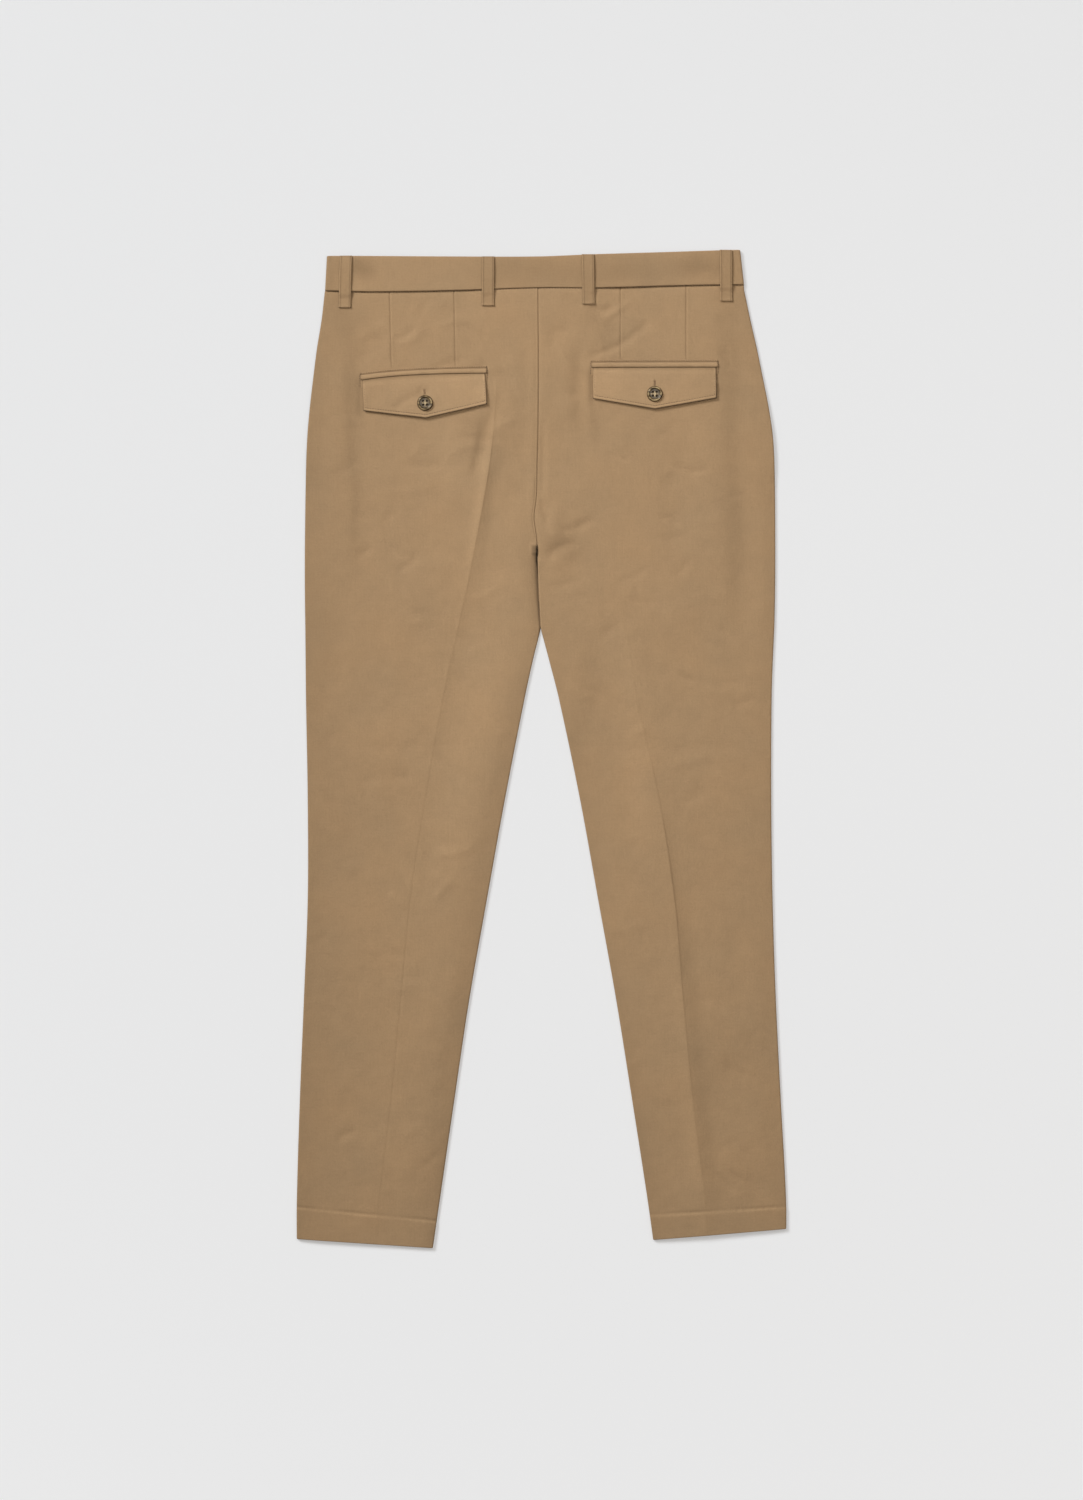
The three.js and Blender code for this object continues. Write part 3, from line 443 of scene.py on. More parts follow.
def from_side_in(leg, anchors, counts):
    """Columns across a leg for each row, as x. Each anchor is a column of x with offsets towards the
    inseam. Between the last place of one anchor and the first of the next come so many even columns."""
    inward = -leg.sign
    runs = [x[:, None] + inward * np.asarray(offsets)[None, :] for x, offsets in anchors]
    columns = [runs[0]]
    for count, before, after in zip(counts, runs[:-1], runs[1:]):
        shares = np.arange(1, count + 1) / (count + 1)
        columns.append(mix(before[:, -1:], after[:, :1], shares[None, :]))
        columns.append(after)
    return np.concatenate(columns, 1)


def left_to_right(leg, *grids):
    """The right leg's columns run from its side seam to the left, so they are turned round."""
    return [grid[:, ::-1] if leg.sign > 0 else grid for grid in grids]


def fly_lap(drop):
    """How far a front's edge passes the centre: the lap down the fly, and none below it."""
    return FLY_LAP * (1 - smooth(*LAP_ENDS, drop))


def fly_lift(leg, x, drop):
    """The right front is lifted over the left one along the fly."""
    if leg.sign < 0:
        return 0.0
    from_edge = x - leg.inseam(drop) + FLY_LAP
    return FLY_STEP * (1 - smooth(*FLY_STEP_ENDS, drop)) * (1 - smooth(FLY_CLEAR, FLY_EASE, from_edge))


# Creases on the hidden side: the leg, then a path of x and drop, and the width and height of its trough
FRONT_CREASES = (
    ("left", ((-30, 262), (-62, 246), (-98, 240)), 6, 0.45),
    ("left", ((-24, 284), (-58, 280), (-88, 286)), 5, 0.35),
    ("left", ((-210, 520), (-172, 530), (-130, 524)), 7, 0.4),
    ("right", ((22, 258), (50, 240), (92, 236)), 6, 0.5),
    ("right", ((30, 290), (60, 286), (80, 296)), 5, 0.3),
    ("right", ((208, 556), (168, 548), (128, 560)), 7, 0.4),
)
# Share of a crease's path over which it fades at each end
CREASE_FADE = 0.3
FRONT_CREASE_COLUMNS = [-20, -7.8, -3, -1, 0, 1, 3, 7.8, 20]


def near_path(path, x, drop):
    """For each point, the distance to a path of straight stretches, the side of it, which is 1 to the
    left of a path that runs down, and the share of the way along it."""
    corners = np.array(path, float)
    steps = np.diff(corners, axis=0)
    lengths = np.hypot(*steps.T)
    best = np.full(x.shape, np.inf)
    side = np.zeros(x.shape)
    along = np.zeros(x.shape)
    done = 0.0
    for corner, step, length in zip(corners[:-1], steps, lengths):
        away_x = x - corner[0]
        away_drop = drop - corner[1]
        t = np.clip((away_x * step[0] + away_drop * step[1]) / length**2, 0, 1)
        distance = np.hypot(away_x - t * step[0], away_drop - t * step[1])
        nearer = distance < best
        best = np.where(nearer, distance, best)
        side = np.where(nearer, np.sign(step[0] * away_drop - step[1] * away_x), side)
        along = np.where(nearer, (done + t * length) / lengths.sum(), along)
        done += length
    return best, side, along


def crease_at(path, width, height, lean, x, drop):
    """A bell across the path, wider on one side by its lean, that fades in and out along the path."""
    distance, side, along = near_path(path, x, drop)
    fade = smooth(0, CREASE_FADE, along) * smooth(0, CREASE_FADE, 1 - along)
    return height * bell(distance, width * (1 + lean * side)) * fade


for leg_name, leg in legs.items():
    share = leg_rows(leg, 170)
    side_drop = share * leg.side_length
    inseam_drop = share * leg.inseam_length
    mid_drop = (side_drop + inseam_drop) / 2
    loop_x = FRONT_LOOP_X[0] if leg.sign < 0 else FRONT_LOOP_X[1]
    front_crease = mix(loop_x, leg.crease(mid_drop), smooth(0, CREASE_FROM_LOOP, mid_drop))
    outer_edge = leg.side(side_drop) - leg.sign * (mouth_inset(side_drop) + side_tuck(side_drop))
    inner_edge = leg.inseam(inseam_drop) - leg.sign * fly_lap(inseam_drop)
    anchors = (
        (outer_edge, EDGE_STEPS),
        (front_crease, FRONT_CREASE_COLUMNS),
        (inner_edge, -EDGE_STEPS[::-1]),
    )
    x = from_side_in(leg, anchors, [12, 14])
    to_inner = (x - outer_edge[:, None]) / (inner_edge - outer_edge)[:, None]
    drop = mix(side_drop[:, None], inseam_drop[:, None], to_inner)
    drop = below_waist(x, drop, front_dip(x))
    to_edge = np.minimum(abs(x - outer_edge[:, None]), abs(x - inner_edge[:, None]))
    round_edge = rolled(abs(x - outer_edge[:, None]), SEAM_ROLL) * smooth(*MOUTH_ROLL, drop)
    round_inner = rolled(abs(x - inner_edge[:, None]), SEAM_ROLL) * smooth(*FORK_OPENS, drop)
    press = FRONT_PRESS * falling(abs(x - front_crease[:, None]), PRESS_WIDTH)
    press = press * smooth(*PRESS_STARTS, drop)
    dents = sum(
        crease_at(path, width, height, 0.0, x, drop)
        for on_leg, path, width, height in FRONT_CREASES
        if on_leg == leg_name
    )
    z = loop_lift(x, drop) + fly_lift(leg, x, drop) + round_edge + round_inner + press + dents
    thick = WALL + hem_fold(leg, x, drop)
    outer = from_seam(x, drop, z)
    outer, thick, to_edge = (grid[:, ::-1] for grid in left_to_right(leg, outer, thick, to_edge))
    mesh = cloth_shell(f"front_panel_{leg_name}", outer, thick, to_edge, rounding=0.3)
    panel = sewn_piece(f"front_panel_{leg_name}", mesh, twill, "chino", f"front_{leg_name}")

# Front pocket facings
# A strip of the same twill behind each slanted pocket mouth. It is sewn into the side seam and the waist
# seam, lies on the floor beside the front panel and steps up to lie on it past the mouth.
FACING_LAP = 12.0
FACING_WALL = 0.9
FACING_STEP, FACING_STEPS_UP = 1.7, (3.0, 16.0)
FACING_FOOT = MOUTH_REACH - 6

for leg_name, leg in legs.items():
    row_drop = spread([0, 3, FACING_FOOT], [3, 46])
    edge = leg.side(row_drop) - leg.sign * side_tuck(row_drop)
    lap = edge - leg.sign * (mouth_inset(row_drop) + FACING_LAP)
    x = from_side_in(leg, ((edge, EDGE_STEPS), (lap, [-1.0, -0.5, 0])), [16])
    drop = below_waist(x, row_drop[:, None], front_dip(x))
    from_side = abs(x - edge[:, None])
    past_mouth = 1 - smooth(*FACING_STEPS_UP, mouth_inset(row_drop)[:, None] - from_side)
    z = FACING_STEP * past_mouth + rolled(from_side, SEAM_ROLL)
    to_rim = np.minimum(abs(x - lap[:, None]), FACING_FOOT - row_drop[:, None])
    outer, to_rim = (grid[:, ::-1] for grid in left_to_right(leg, from_seam(x, drop, z), to_rim))
    mesh = cloth_shell(f"facing_{leg_name}", outer, FACING_WALL, to_rim, rounding=0.4)
    facing = sewn_piece(f"facing_{leg_name}", mesh, twill, "chino", f"pocket_facing_{leg_name}")

# Back leg panels
# Two panels of the same twill, which lie on the fronts. The centre back seam joins them down to the fork.
# Each has two darts above its pocket, a crease pressed down the leg and a turned-up hem, blind stitched.
PANEL_EDGE = 3.1
SEAT_PLUMP, LEG_PLUMP = 2.8, 1.3
SEAT_EDGE, LEG_EDGE = 20.0, 13.0
SEAT_TO_LEG = (180.0, 420.0)
INSEAM_FREE = (247.0, 307.0)
OVERLAP_RISE, OVERLAP_SIDES, OVERLAP_FOOT = 1.5, (36.0, 80.0), (14.0, 75.0)
MOUTH_RISE, MOUTH_WIDTH, MOUTH_CLOSES, MOUTH_ENDS = 1.9, 25.0, (1.0, 26.0), (172.0, 212.0)
SEAM_MEETS, MEETS_TO = 0.05, (355.0, 370.0)
WAIST_TUCK = 1.0
WAIST_SINK, SINK_REACH = 1.3, 1.6
CALM_REACH = 18.0
# How deep the cloth dips to the centre seam, and from how far on each side
SEAM_DIP, SEAM_SINK = 0.8, {"left": 0.8, "right": 1.6}
PRESS_LINE_AT, PRESS_LINE_WIDTH = 1.2, 1.1
# Where the inseams touch below the fork, the left edge dips under the right one
TOUCH_STARTS, TOUCH_ENDS = (277.0, 283.0), (345.0, 375.0)
FORK_UNDER, UNDER_WIDTH = 1.3, 6.5
FORK_OVER, OVER_REACH = 1.7, 8.0
# Between which places the rolled end of the crotch seam rises and falls
TAB_HEIGHT = 1.6
TAB_LEFT, TAB_RIGHT = (-12.0, -9.5), (-1.8, -0.8)
TAB_TOP, TAB_FOOT = (264.5, 268.0), (276.3, 278.3)
# Fine lines in the cloth: height, distance from their seam and width
DART_GROOVE, DART_RIDGE = (-0.55, 0.0, 0.6), (0.2, 1.9, 1.5)
HEM_LINE = (-0.25, 0.0, 1.5)
HEM_RIPPLE, HEM_PITCH = 0.6, 7.0
# Painted highlights and shade along seams, hem and darts: how much paler, distance from their seam and width
SEAM_PALE, LIP_PALE, LIP_DARK = (0.7, 1.8, 0.9), (0.7, 1.1, 0.5), (-1.5, 2.4, 0.6)
HEM_PALE, HEM_DARK, DART_DARK = (0.45, -0.9, 1.0), (-0.6, 1.8, 1.6), (-1.3, 0.0, 0.5)
HEM_UNEVEN, HEM_UNEVEN_LENGTH = 0.5, 11.0
# Painted shade beside the centre seam: how much paler and how far it reaches
LEFT_SEAM_DARK, SEAM_DARK = (-1.7, 0.45), (-0.7, 0.6)
LIP_STARTS, LIP_ENDS = (186.0, 204.0), (250.0, 264.0)
# Painted shade along the side seams and down the inseams, deepening between the given drops
SIDE_SHADE, SIDE_SHADE_REACH = {"left": 0.75, "right": 0.15}, 32.0
INSEAM_SHADE, INSEAM_SHADE_REACH = 0.35, 10.0
SHADE_STARTS, SHADE_DEEPENS = (300.0, 420.0), (650.0, 900.0)
# Painted shade in the pressed crease's line, in the gap at the fork and on the crotch tab
PRESSED_DARK, PRESSED_DARK_WIDTH = -0.5, 1.2
FORK_DARK, FORK_STARTS, FORK_ENDS = -3.2, (272.0, 280.0), (348.0, 368.0)
FORK_WIDTH_DROPS, FORK_WIDTHS = (276, 320, 352), (3.8, 3.0, 1.6)
TAB_DARK = 1.1
# Columns beside a dart and a pressed crease
DART_COLUMNS = [-2.6, -1.3, -0.6, 0, 0.6, 1.3, 2.2, 3.6]
CREASE_COLUMNS = np.array([-14, -9, -6, -3.5, -1.7, -0.7, 0, 0.6, 1.2, 1.9, 2.8, 4.2, 6.5, 9.5, 14])
DARTS_LET_GO, DART_SHARES = (90.0, 420.0), (0.2, 0.41)
DART_LENGTH, DART_END = {"left": 81.6, "right": 74.5}, 6.0
# For each leg the outer and inner dart, as x at the waist and at the point
DARTS = {"left": ((-158, -156), (-91, -89.6)), "right": ((150, 150), (82, 82))}
# Down each leg the pressed crease: drop, height of its ridge, how far that falls away to the left and to
# the right of the view, and the depth of the fine line along it
PRESSED = {
    "left": np.array(
        [
            (70, 0, 14, 4, 0),
            (110, 0.8, 14, 3.5, 0),
            (165, 2.4, 14, 3.5, 0.1),
            (255, 1.9, 13, 4.5, 0.1),
            (300, 1.2, 12, 5.5, 0.08),
            (420, 0.7, 10, 5, 0.08),
            (560, 0.3, 8, 8, 0.2),
            (720, 0.2, 8, 8, 0.28),
            (900, 0.2, 8, 8, 0.2),
            (997, 0.1, 8, 8, 0.1),
        ]
    ),
    "right": np.array(
        [
            (300, 0, 40, 8, 0),
            (420, 0.5, 45, 8, 0.1),
            (520, 1.1, 45, 5, 0.2),
            (600, 2.4, 45, 3.5, 0.28),
            (680, 2.0, 45, 4, 0.22),
            (760, 1.6, 40, 4.5, 0.12),
            (900, 1.3, 35, 5.5, 0.07),
            (997, 0.7, 30, 7, 0.05),
        ]
    ),
}
# The long soft fold down the left leg, by x and drop
LEFT_LEG_FOLD = ((-20, 330), (-27, 400), (-52, 500), (-72, 587), (-88, 700), (-110, 800), (-138, 1010))
# Soft creases: path of x and drop, width, height and lean to the left. A trough's height is negative.
BACK_CREASES = {
    "left": (
        (LEFT_LEG_FOLD, 26.0, 2.0, 0.45),
        (((-48, 108), (-52, 132), (-59, 150), (-67, 180), (-73, 208)), 8.0, -2.0, -0.35),
        (((-42, 112), (-44, 150), (-49, 200)), 7.0, 0.9, 0.0),
        (((-197, 70), (-197, 129), (-194, 195)), 5.5, -0.9, 0.0),
        (((-210, 60), (-213, 150), (-212, 240)), 8.0, 0.5, 0.0),
        (((-166, 24), (-178, 52), (-192, 84)), 7.0, -0.8, 0.0),
        (((-160, 53), (-143, 49), (-128, 41)), 3.5, -1.0, 0.0),
        (((-152, 180), (-125, 185), (-98, 181)), 5.5, -0.9, 0.0),
        (((-246, 688), (-233, 677), (-218, 668)), 4.5, -1.1, 0.0),
        (((-240, 474), (-150, 476), (-40, 473)), 4.5, -0.4, 0.0),
        (((-30, 45), (-28, 110), (-30, 170)), 11.0, 0.8, 0.0),
        (((-10, 4), (-9, 120), (-10, 262)), 4.5, 0.5, 0.0),
        (((-205, 210), (-212, 330), (-214, 450)), 13.0, -0.6, 0.0),
        (((-18, 302), (-38, 290), (-66, 292)), 7.0, -0.5, 0.0),
        (((-86, 700), (-110, 716), (-138, 712)), 6.0, -0.5, 0.0),
        (((-98, 560), (-116, 590), (-120, 630)), 9.0, -0.4, 0.0),
        (((-230, 812), (-200, 804), (-170, 810)), 8.0, -0.35, 0.0),
    ),
    "right": (
        (((170, -40), (180, 40), (182, 100), (187, 190), (187, 260), (191, 390)), 22.0, 1.4, 0.45),
        (((211, 160), (213, 280), (211, 410)), 13.0, -1.3, 0.0),
        (((43, 44), (39, 75), (39, 105), (41, 132), (47, 170)), 6.5, -1.2, 0.0),
        (((28, 40), (26, 90), (27, 150)), 9.0, 0.7, 0.0),
        (((48, 17), (61, 23), (78, 19)), 3.2, -1.5, 0.0),
        (((43, 73), (64, 66), (80, 59), (99, 48)), 3.4, -1.6, 0.0),
        (((88, 53), (102, 43), (116, 31)), 3.5, -1.0, 0.0),
        (((-3, 57), (8, 60), (18, 49)), 3.5, -0.7, 0.0),
        (((4, 286), (12, 273), (19, 268), (28, 265), (43, 265)), 4.5, -1.9, 0.0),
        (((10, 290), (20, 279), (36, 277)), 7.0, 0.9, 0.0),
        (((-3, 218), (4, 232), (8, 246)), 3.5, -1.7, 0.0),
        (((13, 220), (14, 240), (12, 260)), 8.0, 0.9, 0.0),
        (((26, 473), (41, 477), (56, 471)), 3.5, -0.8, 0.0),
        (((16, 477), (120, 478), (238, 474)), 4.5, -0.4, 0.0),
        (((33, 240), (38, 272), (33, 305)), 10.0, -0.8, 0.0),
        (((237, 725), (243, 850), (246, 955)), 10.0, -0.7, 0.0),
        (((2, 126), (1.5, 180), (0, 226)), 3.0, -0.9, 0.0),
        (((150, 125), (146, 200), (138, 310)), 16.0, -0.7, 0.0),
        (((196, 640), (206, 700), (210, 780)), 14.0, -0.5, 0.0),
        (((158, 742), (176, 738), (196, 746)), 5.0, -0.4, 0.0),
        (((112, 842), (130, 850), (150, 846)), 5.0, -0.5, 0.0),
    ),
}
# Painted light and shade of folds and beside the pockets: path of x and drop, width, how much paler and lean
# to the left of the path
BACK_FOLD_SHADING = {
    "left": (
        (((-36, 170), (-44, 300), (-58, 400), (-84, 500), (-98, 587), (-112, 690)), 25.0, 0.38, 0.0),
        (((-190, 82), (-190, 108), (-189, 142)), 3.5, -1.0, 0.0),
        (((-200, 20), (-197, 129), (-193, 210), (-196, 330)), 7.5, -0.5, 0.0),
        (((-100, 120), (-96, 160), (-92, 220)), 14.0, 0.35, 0.0),
        (((-54, 130), (-60, 190), (-68, 240), (-80, 310)), 4.5, 0.5, 0.0),
        (((-44, 130), (-50, 190), (-57, 240), (-66, 310)), 5.0, -0.4, 0.0),
        (((-5.5, 262), (-3.5, 276), (-2.5, 292)), 2.4, -3.0, 0.0),
        (((-66, 128), (-64, 150), (-66, 176)), 6.0, -0.5, 0.0),
        (((-215, -8), (-206, 26), (-204, 60)), 10.0, -0.3, 0.0),
    ),
    "right": (
        (((189, -30), (199, 100), (197, 220), (204, 330)), 14.0, -0.3, 0.3),
        (((43, 340), (51, 410), (36, 470), (36, 540)), 13.0, -0.35, 0.0),
        (((78, 330), (97, 420), (98, 520), (104, 610)), 14.0, 0.33, 0.0),
        (((50, 72), (51, 98), (52, 130)), 3.5, -1.0, 0.0),
        (((-6, 262), (18, 268), (50, 274)), 10.0, -0.5, 0.0),
        (((44, 20), (60, 40), (64, 66)), 14.0, -0.3, 0.0),
        (((52, 118), (55, 150), (50, 170)), 9.0, -0.35, 0.0),
        (((138, 600), (156, 738), (166, 842), (178, 946), (182, 1010)), 8.0, -0.45, 0.0),
        (((131, 640), (141, 738), (151, 842), (163, 946), (167, 1010)), 9.0, 0.25, 0.0),
    ),
}
# Slow waves: how many, their lengths from crest to crest, how steep each is, and how they vary with place
WAVE_COUNT = 26
WAVE_LENGTHS = (16.0, 220.0)
WAVE_STEEPNESS = 0.0011
WAVE_MEAN, WAVE_VARIES, PATCH_ACROSS, PATCH_DOWN = 0.75, 0.35, 47, 83
# How many small creases between two drops, and the ranges of their sizes
CRUMPLE_COUNTS = ((30, 8, 330), (14, 330, 640), (8, 640, 950))
CRUMPLE_ACROSS, CRUMPLE_HEADING, CRUMPLE_BEND = (0.08, 0.92), (-0.9, 0.9), (-0.35, 0.35)
CRUMPLE_REACH, CRUMPLE_HEIGHT, CRUMPLE_WIDTH = (9, 30), (0.4, 1.1), (2.8, 5.5)
WAVE_SEED, CRUMPLE_SEED = 71, 19


def line_at(distance, height, place, width):
    """A bell-shaped line at a place along the distance."""
    return height * bell(distance - place, width)


def edge_at(distance, height, reach):
    """A height at an edge that falls off away from it."""
    return height * falling(distance, reach)


def back_height(leg, x, drop):
    """Height of the back panels without their creases. It rises from each edge as one minus an
    exponential to a level, from the inseam only below the fork. It eases up over the end of the pocket
    mouth and the band's overlap."""
    from_side = abs(x - leg.side(drop))
    from_inseam = abs(x - leg.inseam(drop))
    leg_share = smooth(*SEAT_TO_LEG, drop)
    edge = mix(SEAT_EDGE, LEG_EDGE, leg_share)
    side_rise = 1 - falling(from_side, edge)
    inseam_rise = 1 - smooth(*INSEAM_FREE, drop) * falling(from_inseam, edge)
    over_lap = OVERLAP_RISE * (1 - smooth(*OVERLAP_SIDES, abs(x))) * (1 - smooth(*OVERLAP_FOOT, drop))
    over_mouth = MOUTH_RISE * (1 - smooth(*MOUTH_CLOSES, mouth_inset(drop))) * (1 - smooth(*MOUTH_ENDS, drop))
    plump = mix(SEAT_PLUMP, LEG_PLUMP, leg_share) * side_rise * inseam_rise
    level = PANEL_EDGE + hem_fold(leg, x, drop)
    return level + over_mouth * falling(from_side, MOUTH_WIDTH) + plump + over_lap


def pressed_crease(name, leg, x, drop):
    """A ridge that falls off as an exponential, of its own width on each side, with a groove on its right."""
    at, rise, left_width, right_width, groove = PRESSED[name].T
    off = x - leg.crease(drop)
    width = np.where(off < 0, np.interp(drop, at, left_width), np.interp(drop, at, right_width))
    line = np.interp(drop, at, groove) * bell(off - PRESS_LINE_AT, PRESS_LINE_WIDTH)
    return np.interp(drop, at, rise) * falling(abs(off), width) - line


def dart_x(dart, drop, length):
    return mix(dart[0], dart[1], np.clip(drop / length, 0, 1))


def dart_seams(name, x, drop):
    """Each dart is a narrow bell-shaped groove with a low ridge on its right, down to the dart's point."""
    length = DART_LENGTH[name]
    stitched = 1 - smooth(length - DART_END, length, drop)
    grooves = 0.0
    for dart in DARTS[name]:
        off = x - dart_x(dart, drop, length)
        grooves = grooves + line_at(off, *DART_GROOVE) + line_at(off, *DART_RIDGE)
    return grooves * stitched


wave_rng = np.random.default_rng(WAVE_SEED)
wave_length = np.geomspace(*WAVE_LENGTHS, WAVE_COUNT)
wave_heading = wave_rng.uniform(0, np.pi, WAVE_COUNT)
wave_start = wave_rng.uniform(0, 2 * np.pi, WAVE_COUNT)


def slack(x, drop):
    """Low uneven waves of cloth that isn't pulled flat: a sum of sines of seeded heading and start, each
    as high as its length times the same steepness. A slow sine of place makes them stronger in some parts
    than others."""
    waves = 0.0
    for length, heading, start in zip(wave_length, wave_heading, wave_start):
        phase = 2 * np.pi / length * (x * np.cos(heading) + drop * np.sin(heading))
        waves = waves + WAVE_STEEPNESS * length * np.sin(phase + start)
    return waves * (WAVE_MEAN + WAVE_VARIES * np.sin(x / PATCH_ACROSS + drop / PATCH_DOWN))


crumple_rng = np.random.default_rng(CRUMPLE_SEED)


def small_crumples(leg, count, top, foot):
    """Short soft creases of seeded place, heading and size: more of them dip than rise."""
    found = []
    for _ in range(count):
        middle_drop = crumple_rng.uniform(top, foot)
        across = crumple_rng.uniform(*CRUMPLE_ACROSS)
        middle = np.array([mix(leg.side(middle_drop), leg.inseam(middle_drop), across), middle_drop])
        heading = crumple_rng.uniform(*CRUMPLE_HEADING)
        bend = crumple_rng.uniform(*CRUMPLE_BEND)
        step = np.array([np.cos(heading), np.sin(heading)]) * crumple_rng.uniform(*CRUMPLE_REACH)
        turned = np.array([-step[1], step[0]]) * bend
        height = crumple_rng.uniform(*CRUMPLE_HEIGHT) * crumple_rng.choice([-1, -1, 1])
        width = crumple_rng.uniform(*CRUMPLE_WIDTH)
        found.append(((middle - step, middle + turned, middle + step), width, height, 0.0))
    return found


SMALL_CRUMPLES = {
    name: [crumple for counts in CRUMPLE_COUNTS for crumple in small_crumples(leg, *counts)]
    for name, leg in legs.items()
}


def fork_tab(x, drop):
    """The end of the crotch seam stands up as a small rolled tab on the left panel."""
    across = smooth(*TAB_LEFT, x) * (1 - smooth(*TAB_RIGHT, x))
    down = smooth(*TAB_TOP, drop) * (1 - smooth(*TAB_FOOT, drop))
    return TAB_HEIGHT * across * down


def back_lie(name, leg, x, drop):
    """Height of the back panels with their creases and waves, which all that is sewn on them follows."""
    from_side = abs(x - leg.side(drop))
    from_inseam = abs(x - leg.inseam(drop))
    near_inseam = smooth(*FORK_OPENS, drop) * falling(from_inseam, CALM_REACH)
    calm = (1 - falling(from_side, CALM_REACH)) * (1 - near_inseam)
    every_crease = [*BACK_CREASES[name], *SMALL_CRUMPLES[name]]
    creases = sum(crease_at(path, w, h, lean, x, drop) for path, w, h, lean in every_crease)
    return back_height(leg, x, drop) + (pressed_crease(name, leg, x, drop) + slack(x, drop) + creases) * calm


def waist_sink(x, drop):
    """How far a panel dips to pass under the waistband, fading as an exponential below the waist seam."""
    return WAIST_SINK * falling(np.maximum(drop - waist_seam(x), 0), SINK_REACH)


def back_surface(name, leg, x, drop):
    """Height of the back panels' outer face with darts, seams and hem."""
    from_side = abs(x - leg.side(drop))
    from_inseam = abs(x - leg.inseam(drop))
    below_fork = smooth(*FORK_OPENS, drop)
    z = back_lie(name, leg, x, drop) + dart_seams(name, x, drop) - waist_sink(x, drop)
    z = z - SEAM_DIP * (1 - below_fork) * falling(from_inseam, SEAM_SINK[name]) - rolled(from_side, SEAM_ROLL)
    z = z - rolled(from_inseam, SEAM_ROLL) * below_fork
    hem_top = leg.above_hem(x, drop) - leg.hem_depth(x, drop)
    z = z + line_at(hem_top, *HEM_LINE) * (1 + HEM_RIPPLE * np.sin(2 * np.pi * x / HEM_PITCH))
    touching = smooth(*TOUCH_STARTS, drop) * (1 - smooth(*TOUCH_ENDS, drop))
    if leg.sign < 0:
        return z - FORK_UNDER * touching * bell(from_inseam, UNDER_WIDTH) + fork_tab(x, drop)
    return z + FORK_OVER * touching * falling(from_inseam, OVER_REACH)


def painted_shading_of(name, leg, x, drop):
    """Painted highlights and shade on the panels' seams, creases, darts, fork, edges, folds and hem."""
    from_side = abs(x - leg.side(drop))
    from_inseam = abs(x - leg.inseam(drop))
    is_left = leg.sign < 0
    at, groove = PRESSED[name][:, 0], PRESSED[name][:, 4]
    from_line = x - leg.crease(drop) - PRESS_LINE_AT
    # Painted shade in the pressed crease's fine line
    pressed = PRESSED_DARK * np.interp(drop, at, groove) * bell(from_line, PRESSED_DARK_WIDTH)
    # Painted highlight on the centre seam's lip and painted shade in the seam beside it
    seam = line_at(from_inseam, *SEAM_PALE) + edge_at(from_inseam, *LEFT_SEAM_DARK)
    lip = smooth(*LIP_STARTS, drop) * (1 - smooth(*LIP_ENDS, drop))
    seam = seam + lip * (line_at(from_inseam, *LIP_PALE) + line_at(from_inseam, *LIP_DARK))
    seam = (seam * is_left + edge_at(from_inseam, *SEAM_DARK)) * (1 - smooth(*FORK_OPENS, drop))
    # Painted shade in the gap at the fork and on the crotch seam's rolled tab
    fork = FORK_DARK * smooth(*FORK_STARTS, drop) * (1 - smooth(*FORK_ENDS, drop))
    fork = fork * bell(from_inseam, np.interp(drop, FORK_WIDTH_DROPS, FORK_WIDTHS))
    fork = (fork - TAB_DARK * fork_tab(x, drop)) * is_left
    length = DART_LENGTH[name]
    # Painted shade in the dart grooves
    darts = sum(line_at(x - dart_x(dart, drop, length), *DART_DARK) for dart in DARTS[name]) * (drop < length)
    # Painted light and painted shade on the flanks of folds
    fold_shading = sum(crease_at(path, width, painted_lighter, lean, x, drop) for path, width, painted_lighter, lean in BACK_FOLD_SHADING[name])
    # Painted shade along the side seams and down the inseams
    down_leg = INSEAM_SHADE * (smooth(*SHADE_STARTS, drop) + smooth(*SHADE_DEEPENS, drop))
    edges = -SIDE_SHADE[name] * falling(from_side, SIDE_SHADE_REACH)
    edges = edges - down_leg * falling(from_inseam, INSEAM_SHADE_REACH)
    # Painted highlight and shade where the hem's fold steps up
    hem_top = leg.above_hem(x, drop) - leg.hem_depth(x, drop)
    hem = line_at(hem_top, *HEM_PALE) + line_at(hem_top, *HEM_DARK)
    hem = hem * (1 + HEM_UNEVEN * np.sin(x / HEM_UNEVEN_LENGTH))
    return pressed + seam + fork + darts + fold_shading + edges + hem


